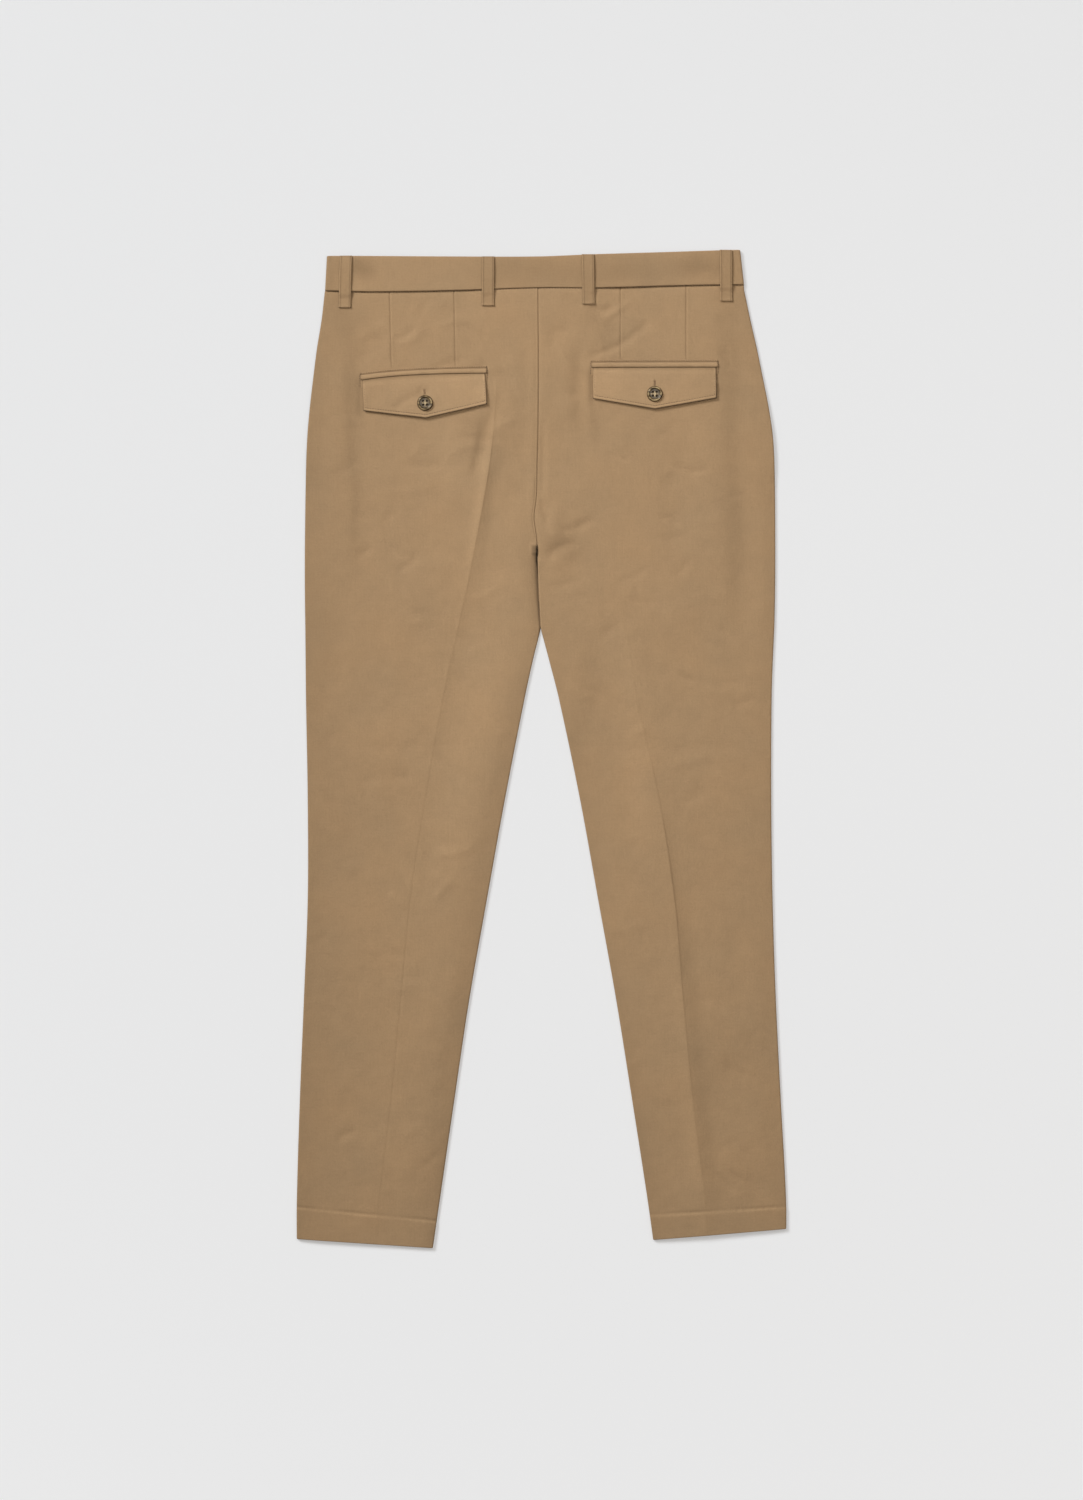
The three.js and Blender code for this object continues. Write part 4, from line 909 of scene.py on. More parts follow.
for leg_name, leg in legs.items():
    share = leg_rows(leg, 300)
    side_drop = share * leg.side_length
    inseam_drop = share * leg.inseam_length
    mid_drop = (side_drop + inseam_drop) / 2
    outer_edge = leg.side(below_waist(leg.side(side_drop), side_drop, -WAIST_TUCK))
    inner_edge = leg.inseam(inseam_drop) - leg.sign * SEAM_MEETS * (1 - smooth(*MEETS_TO, inseam_drop))
    let_go = smooth(*DARTS_LET_GO, mid_drop)
    outer_dart, inner_dart = (
        mix(dart_x(dart, mid_drop, DART_LENGTH[leg_name]), mix(outer_edge, inner_edge, share_across), let_go)
        for dart, share_across in zip(DARTS[leg_name], DART_SHARES)
    )
    dart_offsets = DART_COLUMNS if leg.sign < 0 else [-offset for offset in DART_COLUMNS[::-1]]
    crease_offsets = CREASE_COLUMNS if leg.sign < 0 else -CREASE_COLUMNS[::-1]
    anchors = (
        (outer_edge, EDGE_STEPS),
        (outer_dart, dart_offsets),
        (inner_dart, dart_offsets),
        (leg.crease(mid_drop), crease_offsets),
        (inner_edge, -EDGE_STEPS[::-1]),
    )
    x = from_side_in(leg, anchors, [18, 24, 14, 20])
    to_inner = (x - outer_edge[:, None]) / (inner_edge - outer_edge)[:, None]
    drop = below_waist(x, mix(side_drop[:, None], inseam_drop[:, None], to_inner), -WAIST_TUCK)
    z = back_surface(leg_name, leg, x, drop)
    # The back panels' painted light and shade
    shading_and_tone = painted_shading_of(leg_name, leg, x, drop)
    thick = WALL + hem_fold(leg, x, drop)
    to_hem = mix(leg.side_length, leg.inseam_length, to_inner) * (1 - share[:, None]) + 0 * x
    outer, shading_and_tone, thick, to_hem = left_to_right(leg, from_seam(x, drop, z), shading_and_tone, thick, to_hem)
    mesh = cloth_shell(f"back_panel_{leg_name}", outer, thick, to_hem, rounding=0.8, wear=shading_and_tone)
    panel = sewn_piece(f"back_panel_{leg_name}", mesh, twill, "chino", f"back_{leg_name}")

# Waistband
# One folded strip of twill over stiffening. It runs from the overlap at the centre front round both sides,
# and its lower edge is sewn over the tops of the panels.
BAND_WALL = 2.2
BAND_FOLD = BAND_WALL + GAP / 2
BAND_RISE = 3.0
BAND_HEIGHT = 36.0
BAND_TAB, TAB_COLUMNS = 30.0, 14
LAY_LENGTH = 255.0
TAB_EASE = (BAND_TAB + 2, BAND_TAB + 34)
DIP_FROM_FOLD, SOFT_FROM_FOLD = (0.0, 40.0), (6.0, 30.0)
BAND_SLACK = 0.5
# Painted highlight on the band's rolled top edge and painted shade along its foot: how much paler and reach
BAND_TOP_PALE, BAND_FOOT_DARK = (0.3, 1.5), (-2.6, 0.6)
BAND_LEFT, BAND_RIGHT = (-225.0, -223.0), (210.5, 206.5)
BAND_CREASES = (
    (((-194, -29), (-184, -24), (-172, -19)), 6.0, -0.5, 0.0),
    (((155, -31), (170, -28), (187, -23)), 6.0, -0.5, 0.0),
    (((-46, -28), (-20, -18), (8, -13)), 7.0, -0.45, 0.0),
    (((-150, -8), (-120, -10), (-80, -6)), 6.0, -0.25, 0.0),
    (((70, -10), (100, -14), (135, -9)), 6.0, -0.25, 0.0),
)
# Painted shade beside the side loops and at the band's left end, and a darker stripe along its middle
BAND_SHADING = (
    (((-218, -27), (-190, -22), (-166, -14)), 10.0, -1.0, 0.0),
    (((132, -22), (166, -24), (206, -22)), 10.0, -0.8, 0.0),
    (((-112, -17), (-40, -17), (60, -17), (190, -17)), 16.0, -0.55, 0.0),
    (((-226, -60), (-219, -17), (-222, 26)), 10.0, -0.8, 0.0),
)


def band_end(ends, up):
    return mix(ends[0], ends[1], up)


def band_under(x, up):
    """Underside of the band's back layer, which rises from the side folds as one minus an exponential."""
    from_end = np.minimum(x - band_end(BAND_LEFT, up), band_end(BAND_RIGHT, up) - x) - BAND_WALL
    return BAND_WALL + GAP + BAND_RISE * (1 - falling(np.maximum(from_end, 0), SEAT_EDGE))


def band_top(x):
    return band_under(x, 0.5) + BAND_WALL


below_top = np.concatenate([EDGE_STEPS, spread([9, 27], [8]), BAND_HEIGHT - EDGE_STEPS[::-1]])
up = 1 - below_top[:, None] / BAND_HEIGHT
left_middle = band_end(BAND_LEFT, up) + BAND_FOLD
right_middle = band_end(BAND_RIGHT, up) - BAND_FOLD
lay = np.concatenate([EDGE_STEPS[:7] / LAY_LENGTH, spread([0.012, 1], [80])])[None, :]
turn = np.linspace(0, np.pi, 11)[None, 1:-1]
over = spread([0, 1], [150])[None, :]
left_x = mix(BAND_TAB, left_middle, lay)
right_x = mix(right_middle, -BAND_TAB, 1 - lay[:, ::-1])
back_x = mix(left_middle, right_middle, over)
over_lap = (BAND_WALL + GAP) * (1 - smooth(*TAB_EASE, right_x))
x = np.concatenate(
    [
        left_x,
        left_middle - BAND_FOLD * np.sin(turn),
        back_x,
        right_middle + BAND_FOLD * np.sin(turn),
        right_x,
    ],
    1,
)
z = np.concatenate(
    [
        loop_lift(left_x, 0),
        BAND_FOLD - BAND_FOLD * np.cos(turn) + 0 * up,
        band_under(back_x, up) + BAND_WALL,
        BAND_FOLD + BAND_FOLD * np.cos(turn) + 0 * up,
        loop_lift(right_x, 0) + over_lap,
    ],
    1,
)
column = np.arange(x.shape[1])
from_tab_end = np.minimum(column, column[::-1])
is_back = from_tab_end >= lay.size + turn.size // 2
from_fold = np.minimum(x - BAND_LEFT[0], BAND_RIGHT[0] - x)
dip = np.where(is_back, 0, front_dip(x) * smooth(*DIP_FROM_FOLD, from_fold))
drop = mix(waist_seam(x) - GAP / 2, -waist_top(x), up)
soft = sum(crease_at(path, w, h, lean, x, drop) for path, w, h, lean in BAND_CREASES)
soft = soft + BAND_SLACK * slack(x, drop)
z = z + np.where(is_back, soft * smooth(*SOFT_FROM_FOLD, from_fold), 0)
to_tab_end = np.where(from_tab_end < TAB_COLUMNS, abs(abs(x) - BAND_TAB), BAND_HEIGHT)
to_rim = np.minimum(np.minimum(up, 1 - up) * BAND_HEIGHT, to_tab_end)
# The band's painted highlight and shade
fold_shading = sum(crease_at(path, width, painted_lighter, lean, x, drop) for path, width, painted_lighter, lean in BAND_SHADING)
shading_and_tone = edge_at((1 - up) * BAND_HEIGHT, *BAND_TOP_PALE) + edge_at(up * BAND_HEIGHT, *BAND_FOOT_DARK)
shading_and_tone = shading_and_tone + fold_shading * is_back
mesh = cloth_shell("band", from_seam(x, drop + dip, z), BAND_WALL, to_rim, rounding=0.95, wear=shading_and_tone)
band = sewn_piece("band", mesh, twill, "chino", "waistband")

# Belt loops
# Six narrow strips of folded twill. Each is caught in at the top edge of the band and lies over it with a
# little slack, and its folded foot is tacked down on the panel below the band.
LOOP_WIDTH = 12.8
LOOP_WALL = 1.3
LOOP_FOOT = 17.0
LOOP_ARCH = 0.8
LOOP_STEPS_DOWN = (2.0, 8.0)
# Lines along a loop: height or paleness, distance from its edge and width. Its edge: paleness and reach
# LOOP_PALE is a painted highlight on each rolled edge; LOOP_DARK is a dark line 1.7 mm in from each edge
LOOP_RIDGE, LOOP_PALE, LOOP_DARK = (0.14, 1.6, 0.7), (0.5, 0.8, 0.4), (-1.6, 1.7, 0.5)
# Painted shade at the very edge of a loop, and a darker tone over the whole loop
LOOP_EDGE_DARK, LOOP_TONE = (-2.2, 0.2), -0.4
# Down a loop: share of its length, how much it arches, and its thickness
LOOP_SECTIONS = np.array(
    [
        (0, 0, 1),
        (0.08, 0.4, 1),
        (0.25, 1, 1),
        (0.45, 1, 1),
        (0.6, 0.5, 1),
        (0.69, 0.15, 1),
        (0.76, 0.2, 1),
        (0.9, 0.1, 1),
        (0.95, 0, 1.1),
        (0.975, 0, 1.5),
        (1, 0, 1.4),
    ]
)
BACK_LOOPS = {
    "loop_side_left": (-204.5, 1.5, "belt_loop_side_left"),
    "loop_back_left": (-55.6, 0.2, "belt_loop_back_left"),
    "loop_back_right": (49.0, -0.8, "belt_loop_back_right"),
    "loop_side_right": (191.8, -0.5, "belt_loop_side_right"),
}


def edged(width, edge_count, inset, steps):
    """Places from 0 to a width: so many close ones at each edge, and even steps between the insets."""
    edge = EDGE_STEPS[:edge_count]
    return np.concatenate([edge, spread([inset, width - inset], [steps]), width - edge[::-1]])


def loop_base(x, drop):
    """Top of what a back loop lies on: the band, then past the seam a step down to the panel."""
    side = "left" if x.mean() < WAIST_SPLIT else "right"
    past = smooth(*LOOP_STEPS_DOWN, drop - waist_seam(x))
    on_band = band_top(x) + BAND_SLACK * slack(x, drop)
    return mix(on_band, back_lie(side, legs[side], x, np.maximum(drop, 0.5)), past)


loop_across = edged(LOOP_WIDTH, 7, 3.2, 6)[None, :] - LOOP_WIDTH / 2
from_edge = LOOP_WIDTH / 2 - abs(loop_across)
loop_ridges = line_at(from_edge, *LOOP_RIDGE)
# Painted highlight and shade along the loop's edges, and its darker tone
loop_shading_and_tone = line_at(from_edge, *LOOP_PALE) + line_at(from_edge, *LOOP_DARK)
loop_shading_and_tone = loop_shading_and_tone + edge_at(from_edge, *LOOP_EDGE_DARK) + LOOP_TONE
for loop_name, (loop_x, lean, node) in BACK_LOOPS.items():
    seam = waist_seam(loop_x)
    length = waist_top(loop_x) + seam + LOOP_FOOT
    down = edged(length, 8, 4, 44)[:, None]
    arch = np.interp(down / length, LOOP_SECTIONS[:, 0], LOOP_SECTIONS[:, 1])
    thick = LOOP_WALL * np.interp(down / length, LOOP_SECTIONS[:, 0], LOOP_SECTIONS[:, 2])
    x = loop_x + lean * (1 - down / length) + loop_across
    drop = down - waist_top(loop_x) + 0 * x
    z = loop_base(x, drop) + GAP + LOOP_ARCH * arch + thick + loop_ridges
    to_rim = np.minimum(from_edge, np.minimum(down, length - down))
    mesh = cloth_shell(loop_name, from_seam(x, drop, z), thick + 0 * x, to_rim, 0.6, loop_shading_and_tone + 0 * x)
    loop = sewn_piece(loop_name, mesh, twill, "chino", node)

for loop_name, loop_x in zip(("loop_front_left", "loop_front_right"), FRONT_LOOP_X):
    dip = front_dip(loop_x)
    length = waist_top(loop_x) + waist_seam(loop_x) + LOOP_FOOT
    down = edged(length, 6, 4, 20)[:, None]
    x = loop_x - loop_across + 0 * down
    drop = down - waist_top(loop_x) + dip + 0 * x
    to_rim = np.minimum(from_edge, np.minimum(down, length - down))
    mesh = cloth_shell(loop_name, from_seam(x, drop, 0.0), LOOP_WALL, to_rim, rounding=0.5)
    loop = sewn_piece(loop_name, mesh, twill, "chino", f"belt_{loop_name}")

# Back pockets
# Each is a slit between two jets, narrow folded strips of twill, with a pointed flap sewn in under the
# upper one. The flap is two layers turned out and topstitched along its point, and buttons down.
POCKETS = {"left": (-122.3, 91.5, 3.2), "right": (117.4, 82.0, 0.2)}
# How far the upper jet and the flap's top edge bow up between their ends
POCKET_BOW = {"left": 2.3, "right": 0.2}
JET_WIDTH, JET_HEIGHT = 131.0, 8.0
# Share of the slit's bow that the top of the frame keeps, and how far its middle lies to the left
FRAME_BOW, BOW_LEAN = 0.75, 0.4
JET_LINE = 5.75
JET_CLEAR, JET_WALL, LOWER_JET_WALL = 0.15, 0.9, 0.5
JET_OVER, JET_ROLL, ROLL_FROM, ROLL_POWER = 0.85, 1.5, 0.2, 0.7
# Lines on the upper jet and the flap: height or paleness, distance and width. Edges: paleness and reach
# The jet's pale roll is a painted highlight; its dark line, ends and foot are painted shade and shadow
JET_GROOVE, JET_LINE_DARK = (-0.35, 0.0, 0.5), (-2.4, 0.0, 0.45)
JET_PALE, JET_END_DARK, JET_FOOT_DARK = 0.2, (-2.5, 0.4), (-2.8, 0.55)
FLAP_WIDTH, FLAP_SIDE, FLAP_POINT = 128.0, 32.0, 43.0
FLAP_WALL = 1.5
FLAP_PUFF = 0.5
FLAP_LOW, FLAP_THICKENS, FLAP_OUT = 1.45, 0.85, (0.5, 7.0)
FLAP_PUFFS, FLAP_LIFTS = (4.0, 18.0), (8.0, 20.0)
FLAP_LIFT, LIFT_LEAN, LIFT_REACH = 0.8, 0.5, 5.0
FLAP_STITCH_IN, FLAP_SIDE_STITCH_IN = 3.4, 1.9
# Painted shade along the flap's stitching
FLAP_GROOVE, FLAP_STITCH_DARK = (-0.3, FLAP_STITCH_IN, 0.8), (-0.6, FLAP_STITCH_IN, 0.6)
# The flap's pale line is a painted highlight on its rolled rim; its dark lower edge, top and ends are painted
# shadow
FLAP_PALE, FLAP_LOWER_DARK, FLAP_TOP_DARK = (0.4, 1.9, 1.0), (-3.7, 0.0, 0.95), (-2.6, 1.1)
FLAP_LEFT_DARK, FLAP_RIGHT_DARK = (-2.0, 0.0, 0.3), (-3.4, 0.0, 0.8)
# A paler tone over the flap, and painted shade towards its outer end
FLAP_TONE, FLAP_SHADE = 0.3, 0.35
FLAP_THIN, THIN_TO = 0.75, (2.0, 10.0)
HOLE_TOP, HOLE_FOOT = 12.6, 19.5
# The slit's groove, and painted shade in it
SLIT_WIDTH, SLIT_DEPTH, SLIT_DARK = 0.5, 0.25, 0.4
SLIT_TOP, SLIT_FOOT = (HOLE_TOP, HOLE_TOP + 0.8), (HOLE_FOOT - 0.5, HOLE_FOOT + 0.3)


def pocket_bow(side, along):
    """A rise of the slit that is highest a little left of its middle and none at its ends."""
    t = along / (JET_WIDTH / 2)
    return POCKET_BOW[side] * (1 - t * t) * (1 - BOW_LEAN * t)


def pocket_place(side, along, down):
    """x and drop of a place on a pocket: along from its middle, and down from the flap's top edge."""
    x, drop, turned = POCKETS[side]
    angle = np.radians(turned)
    cos, sin = np.cos(angle), np.sin(angle)
    return x + along * cos + down * sin, drop - along * sin + down * cos


def on_pocket(side, along, down, over):
    """Points at a height over the panel under a pocket."""
    x, drop = pocket_place(side, along, down)
    return from_seam(x, drop, back_lie(side, legs[side], x, drop) + over)


def flap_length(along):
    return mix(FLAP_POINT, FLAP_SIDE, abs(along) / (FLAP_WIDTH / 2))


def flap_over(along, down):
    """Height of the flap's outer face over the panel. It comes out low from under the upper jet, thickens
    over the lower one, puffs up a little in the middle and lifts off along its free edges."""
    out_of_slit = FLAP_LOW + FLAP_THICKENS * smooth(*FLAP_OUT, down)
    puffed = FLAP_PUFF * np.cos(np.pi * along / FLAP_WIDTH) * smooth(*FLAP_PUFFS, down)
    to_edge = np.minimum(flap_length(along) - down, FLAP_WIDTH / 2 - abs(along))
    lifted = falling(np.maximum(to_edge, 0), LIFT_REACH) * smooth(*FLAP_LIFTS, down)
    return out_of_slit + puffed + (FLAP_LIFT + LIFT_LEAN * along / FLAP_WIDTH) * lifted


lower_edge_slope = np.arctan2(FLAP_POINT - FLAP_SIDE, FLAP_WIDTH / 2)
for side in POCKETS:
    along = edged(JET_WIDTH, 7, 4, 56)[None, :] - JET_WIDTH / 2
    end = JET_WIDTH / 2 - abs(along)
    sewn_edge = JET_HEIGHT - EDGE_STEPS[:4][::-1]
    up = np.concatenate([EDGE_STEPS[:6] + GAP / 2, spread([2.2, 5, 6.6], [6, 8]), sewn_edge])[::-1, None]
    to_rim = np.minimum(np.minimum(JET_HEIGHT - up, up - GAP / 2), end)
    in_roll = np.clip((up - GAP / 2) / (JET_LINE - GAP / 2), 0, 1)
    round_share = np.clip(in_roll * (1 - ROLL_FROM) + ROLL_FROM, 0, 1)
    roll = JET_ROLL * np.sin(np.pi * round_share) ** ROLL_POWER * (up < JET_LINE)
    over = JET_OVER + roll + line_at(up - JET_LINE, *JET_GROOVE) + 0 * along
    # Painted highlight on the roll, painted shade in its groove, painted shadow at the ends and along the
    # slit
    shading_and_tone = JET_PALE * (up < JET_LINE) + line_at(up - JET_LINE, *JET_LINE_DARK)
    shading_and_tone = shading_and_tone + edge_at(end, *JET_END_DARK) + edge_at(up - GAP / 2, *JET_FOOT_DARK)
    outer = on_pocket(side, along, -up - pocket_bow(side, along) * mix(1, FRAME_BOW, up / JET_HEIGHT), over)
    thick = np.minimum(over - JET_CLEAR, JET_WALL + roll * JET_WALL)
    mesh = cloth_shell(f"jet_upper_{side}", outer, thick, to_rim, 0.3, shading_and_tone)
    jet = sewn_piece(f"jet_upper_{side}", mesh, twill, "chino", f"pocket_jet_upper_{side}")

    edge = EDGE_STEPS[:5]
    down = np.concatenate([edge + GAP / 2, spread([2, 6], [5]), JET_HEIGHT - edge[::-1]])[:, None]
    to_rim = np.minimum(np.minimum(JET_HEIGHT - down, down - GAP / 2), end)
    outer = on_pocket(side, along, down - pocket_bow(side, along), JET_CLEAR + LOWER_JET_WALL)
    mesh = cloth_shell(f"jet_lower_{side}", outer, LOWER_JET_WALL, to_rim, 0.2)
    jet = sewn_piece(f"jet_lower_{side}", mesh, twill, "chino", f"pocket_jet_lower_{side}")

    half = np.concatenate([[0, 0.3, 0.6, 1.2], spread([2.5, 54], [26]), FLAP_WIDTH / 2 - EDGE_STEPS[::-1]])
    along = np.concatenate([-half[:0:-1], half])[None, :]
    length = flap_length(along)
    to_point = 1 - EDGE_STEPS[::-1] / FLAP_POINT
    rows = np.concatenate([[0, 0.008, 0.02, 0.04], spread([0.07, 0.8], [34]), to_point])
    top = GAP / 2 - pocket_bow(side, along)
    down = mix(top, length, rows[:, None])
    to_lower = (length - down) * np.cos(lower_edge_slope)
    to_end = FLAP_WIDTH / 2 - abs(along) + 0 * down
    to_rim = np.minimum(np.minimum(to_lower, to_end), (down - top) * 3)
    slit = bell(along, SLIT_WIDTH) * smooth(*SLIT_TOP, down) * (1 - smooth(*SLIT_FOOT, down))
    over = flap_over(along, down) + line_at(to_lower, *FLAP_GROOVE) - SLIT_DEPTH * slit
    # Painted highlight on the rim, painted shadow at the edges and under the jet, painted shade along the
    # stitching
    shading_and_tone = line_at(to_rim, *FLAP_PALE) + line_at(to_lower, *FLAP_LOWER_DARK)
    shading_and_tone = shading_and_tone + line_at(to_lower, *FLAP_STITCH_DARK) + edge_at(down - top, *FLAP_TOP_DARK)
    shading_and_tone = shading_and_tone + np.where(along > 0, line_at(to_end, *FLAP_RIGHT_DARK), line_at(to_end, *FLAP_LEFT_DARK))
    # Painted shade towards the outer end and in the slit, and a paler tone over the flap
    shade = FLAP_SHADE * legs[side].sign * along / (FLAP_WIDTH / 2)
    shading_and_tone = shading_and_tone + FLAP_TONE - SLIT_DARK * slit - shade
    thin = mix(FLAP_THIN, FLAP_WALL - 0.1, smooth(*THIN_TO, down))
    mesh = cloth_shell(f"flap_{side}", on_pocket(side, along, down, over), thin, to_rim, 0.55, shading_and_tone)
    flap = sewn_piece(f"flap_{side}", mesh, twill, "chino", f"pocket_flap_{side}")

# Pocket buttons
# Four-hole buttons of grey-brown horn look with a raised rim and a pale cross between the holes. Each is
# sewn to the panel through its flap's buttonhole with two threads side by side.
BUTTON_RADIUS = 8.2
BUTTON_DROP = 27.5
HOLE_RADIUS, HOLE_OUT = 0.95, 2.0
RIM_IN, RIM_WIDTH = 1.5, 0.95
DISH_HEIGHT, RIM_HEIGHT = 1.7, 0.95
EDGE_ROUND_IN, EDGE_ROUND_DOWN = 0.9, 1.3
HOLE_DEPTH, HOLE_SLOPES = 1.5, (-0.35, 0.1)
UNDER_SHARE = 0.96
CROSS_WIDTH, CROSS_ENDS = 0.7, (2.4, 3.6)
# How much paler the rim and the cross are, the painted shade in the holes, and the tone of the dish
RIM_PALE, CROSS_PALE, HOLE_DARK, DISH_TONE = 1.2, 1.6, 1.5, -0.4
BUTTON_CLEAR = 0.1
BUTTON_THREAD_RADIUS, BUTTON_THREAD_ARCH = 0.34, 0.25

horn_finish = Finish("horn")
horn_place = horn_finish.add("TexCoord")[3]
streaks = horn_finish.noise(horn_finish.stretched(horn_place, (90.0, 330.0, 90.0)), 1.0, 4.0)
flecked = horn_finish.noise(horn_place, 900.0, 2.0)
# The horn's tone, with the painted shade in the holes
button_tone_and_hole_shade = horn_finish.add("Attribute", {"attribute_name": "wear"})[2]
horn_tone = horn_finish.add(
    "ValToRGB",
    {"stops": ((0.2, (0.024, 0.014, 0.005)), (0.5, (0.1, 0.062, 0.026)), (0.85, (0.42, 0.31, 0.16)))},
    {0: streaks * 1.8 + 0.38 + button_tone_and_hole_shade * 0.38},
)[0]
horn = horn_finish.surface(
    {
        "Base Color": horn_tone,
        "Roughness": 0.38 + flecked * 0.15,
        "Specular Tint": (1.0, 0.86, 0.66, 1.0),
        "Coat Weight": 0.2,
        "Coat Roughness": 0.2,
        "Coat Tint": (1.0, 0.9, 0.75, 1.0),
    }
)


def thread_finish(name, colour):
    """Matt cotton thread with the fine light and dark of its twist and a slow drift of tone."""
    finish = Finish(name)
    place = finish.add("TexCoord")[3]
    tone = 0.95 + finish.noise(place, 2600.0, 2.0) * 0.4 + finish.noise(place, 60.0, 2.0) * 0.15
    return finish.surface({"Base Color": finish.shaded(colour, tone), "Roughness": 0.75})


thread = thread_finish("seam_thread", (0.185, 0.115, 0.062))
hole_thread = thread_finish("buttonhole_thread", (0.21, 0.122, 0.066))
button_thread = thread_finish("button_thread", (0.1, 0.065, 0.036))


def disc_mesh(name, centre, seat_z):
    """A button as a polar grid. Over its radius the top is a shallow dish with a bell-shaped rim and a
    rounded edge, less a smooth pit for each hole, and the underside is flat."""
    outer_radii = [7.7, 7.95, 8.1, BUTTON_RADIUS]
    radii = np.concatenate([np.linspace(0.15, 4.2, 22), np.linspace(4.6, 7.4, 10), outer_radii])
    turns = np.linspace(0, 2 * np.pi, 60, endpoint=False)
    x = radii[:, None] * np.cos(turns)
    y = radii[:, None] * np.sin(turns)
    out = radii[:, None]
    rim = RIM_HEIGHT * bell(out - BUTTON_RADIUS + RIM_IN, RIM_WIDTH)
    edge_round = smooth(BUTTON_RADIUS - EDGE_ROUND_IN, BUTTON_RADIUS, out) ** 2
    top = DISH_HEIGHT + rim + 0 * x - EDGE_ROUND_DOWN * edge_round
    holes = 0.0
    for sx, sy in ((1, 1), (-1, 1), (-1, -1), (1, -1)):
        from_hole = np.hypot(x - sx * HOLE_OUT, y - sy * HOLE_OUT)
        holes = holes + 1 - smooth(*HOLE_SLOPES, from_hole - HOLE_RADIUS)
    top = top - HOLE_DEPTH * np.minimum(holes, 1)
    place = np.array([centre[0], centre[1], seat_z])
    upper = np.stack([x, y, top], -1).reshape(-1, 3) + place
    lower = np.stack([x[-1] * UNDER_SHARE, y[-1] * UNDER_SHARE, 0 * x[-1]], -1) + place
    ring = np.arange(len(turns))
    index = np.arange(x.size).reshape(x.shape)
    skin = quads_between(np.concatenate([index, index[:, :1]], 1))
    edge = np.stack([index[-1], x.size + ring, x.size + np.roll(ring, -1), np.roll(index[-1], -1)], -1)
    faces = [*skin.tolist(), *edge.tolist(), index[0].tolist(), (x.size + ring[::-1]).tolist()]
    cross = np.maximum(bell(x, CROSS_WIDTH), bell(y, CROSS_WIDTH)) * (1 - smooth(*CROSS_ENDS, out))
    # Painted shade in the holes; the rim, cross and dish are the horn's own tone
    tone_and_hole_shade = RIM_PALE * rim - HOLE_DARK * holes + CROSS_PALE * cross + DISH_TONE
    tone_and_hole_shade = np.concatenate([tone_and_hole_shade.ravel(), np.zeros(len(turns))])
    return mesh_of(name, np.concatenate([upper, lower]), faces, tone_and_hole_shade)


def thread_bars(name, starts, ends, radius, arch):
    """Stitches as short bars from start to end points, arched up in the middle and pinched at both ends,
    with a square section. Up is z."""
    along = np.array([0, 0.12, 0.5, 0.88, 1.0])
    girth = np.array([0.35, 0.9, 1.0, 0.9, 0.35])
    rise = np.array([-0.9, -0.1, 1.0, -0.1, -0.9]) * arch
    run = ends - starts
    across = np.cross(run, [0, 0, 1.0])
    across /= np.linalg.norm(across, axis=1, keepdims=True)
    middle = starts[:, None, :] + run[:, None, :] * along[None, :, None]
    middle = middle + np.array([0, 0, 1.0]) * rise[None, :, None]
    corners = ((1, 0), (0, 1), (-1, 0), (0, -1))
    rings = [
        middle + radius * girth[None, :, None] * (sx * across[:, None, :] + sz * np.array([0, 0, 1.0]))
        for sx, sz in corners
    ]
    points = np.stack(rings, 2)
    index = np.arange(points.size // 3).reshape(points.shape[:3])
    turned = np.roll(index, -1, axis=2)
    sides = np.stack([index[:, :-1], turned[:, :-1], turned[:, 1:], index[:, 1:]], -1).reshape(-1, 4)
    caps = np.concatenate([index[:, 0, ::-1], index[:, -1]])
    return mesh_of(name, points.reshape(-1, 3), np.concatenate([sides, caps]))


for side in POCKETS:
    x, drop = (float(v) for v in pocket_place(side, 0.0, BUTTON_DROP))
    nearby = np.linspace(-BUTTON_RADIUS, BUTTON_RADIUS, 9)[None, :]
    down = BUTTON_DROP + nearby.T
    seat_z = on_pocket(side, nearby, down, flap_over(nearby, down))[..., 2].max() + BUTTON_CLEAR
    mesh = disc_mesh(f"button_{side}", (x, SEAM_Y - drop), seat_z)
    sewn_piece(f"button_{side}", mesh, horn, "button", f"pocket_button_{side}")
    holes_at = np.array([(-HOLE_OUT, HOLE_OUT + 0.2, 0.0), (HOLE_OUT, HOLE_OUT + 0.2, 0.0)])
    centre = np.array([x, SEAM_Y - drop, seat_z + DISH_HEIGHT + BUTTON_CLEAR])
    starts = centre + holes_at
    ends = centre + holes_at * (1, -1, 1)
    knots = thread_bars(f"button_threads_{side}", starts, ends, BUTTON_THREAD_RADIUS, BUTTON_THREAD_ARCH)
    sewn_piece(f"button_threads_{side}", knots, button_thread, "button")

# Stitches
# Cotton thread a shade darker than the cloth: round the pocket frames and the flaps, in the ditch under the
# waistband, along the fly and the front pocket mouths, and round the buttonholes.
J_STITCH_IN = 36.0
MOUTH_STITCH_IN = 6.0
UNDER_STITCH_UP = 0.14
FRAME_STITCH_OUT = 0.9
# Pitch, length and thread radius of each kind of stitch
FLAP_STITCH, FRAME_STITCH, WAIST_STITCH = (2.7, 2.0, 0.24), (2.5, 1.7, 0.24), (3.0, 1.9, 0.24)
# The same with the arch, which is turned down on the hidden side
UNDER_STITCH = (2.9, 2.1, 0.24, -0.12)
RUNG_PITCH, RUNG_RADIUS, RUNG_ARCH, RUNG_UP = 0.5, 0.2, 0.08, 0.02
# How far down the side lines of a pocket's stitches start, and how far the flap's sink into it
SIDE_LINES_DOWN, FLAP_STITCH_SINK = 7.5, 0.15
ON_JET, BESIDE_JET = 0.9, 0.1
DITCH_DOWN, DITCH_STITCH_UP = 0.4, 0.12


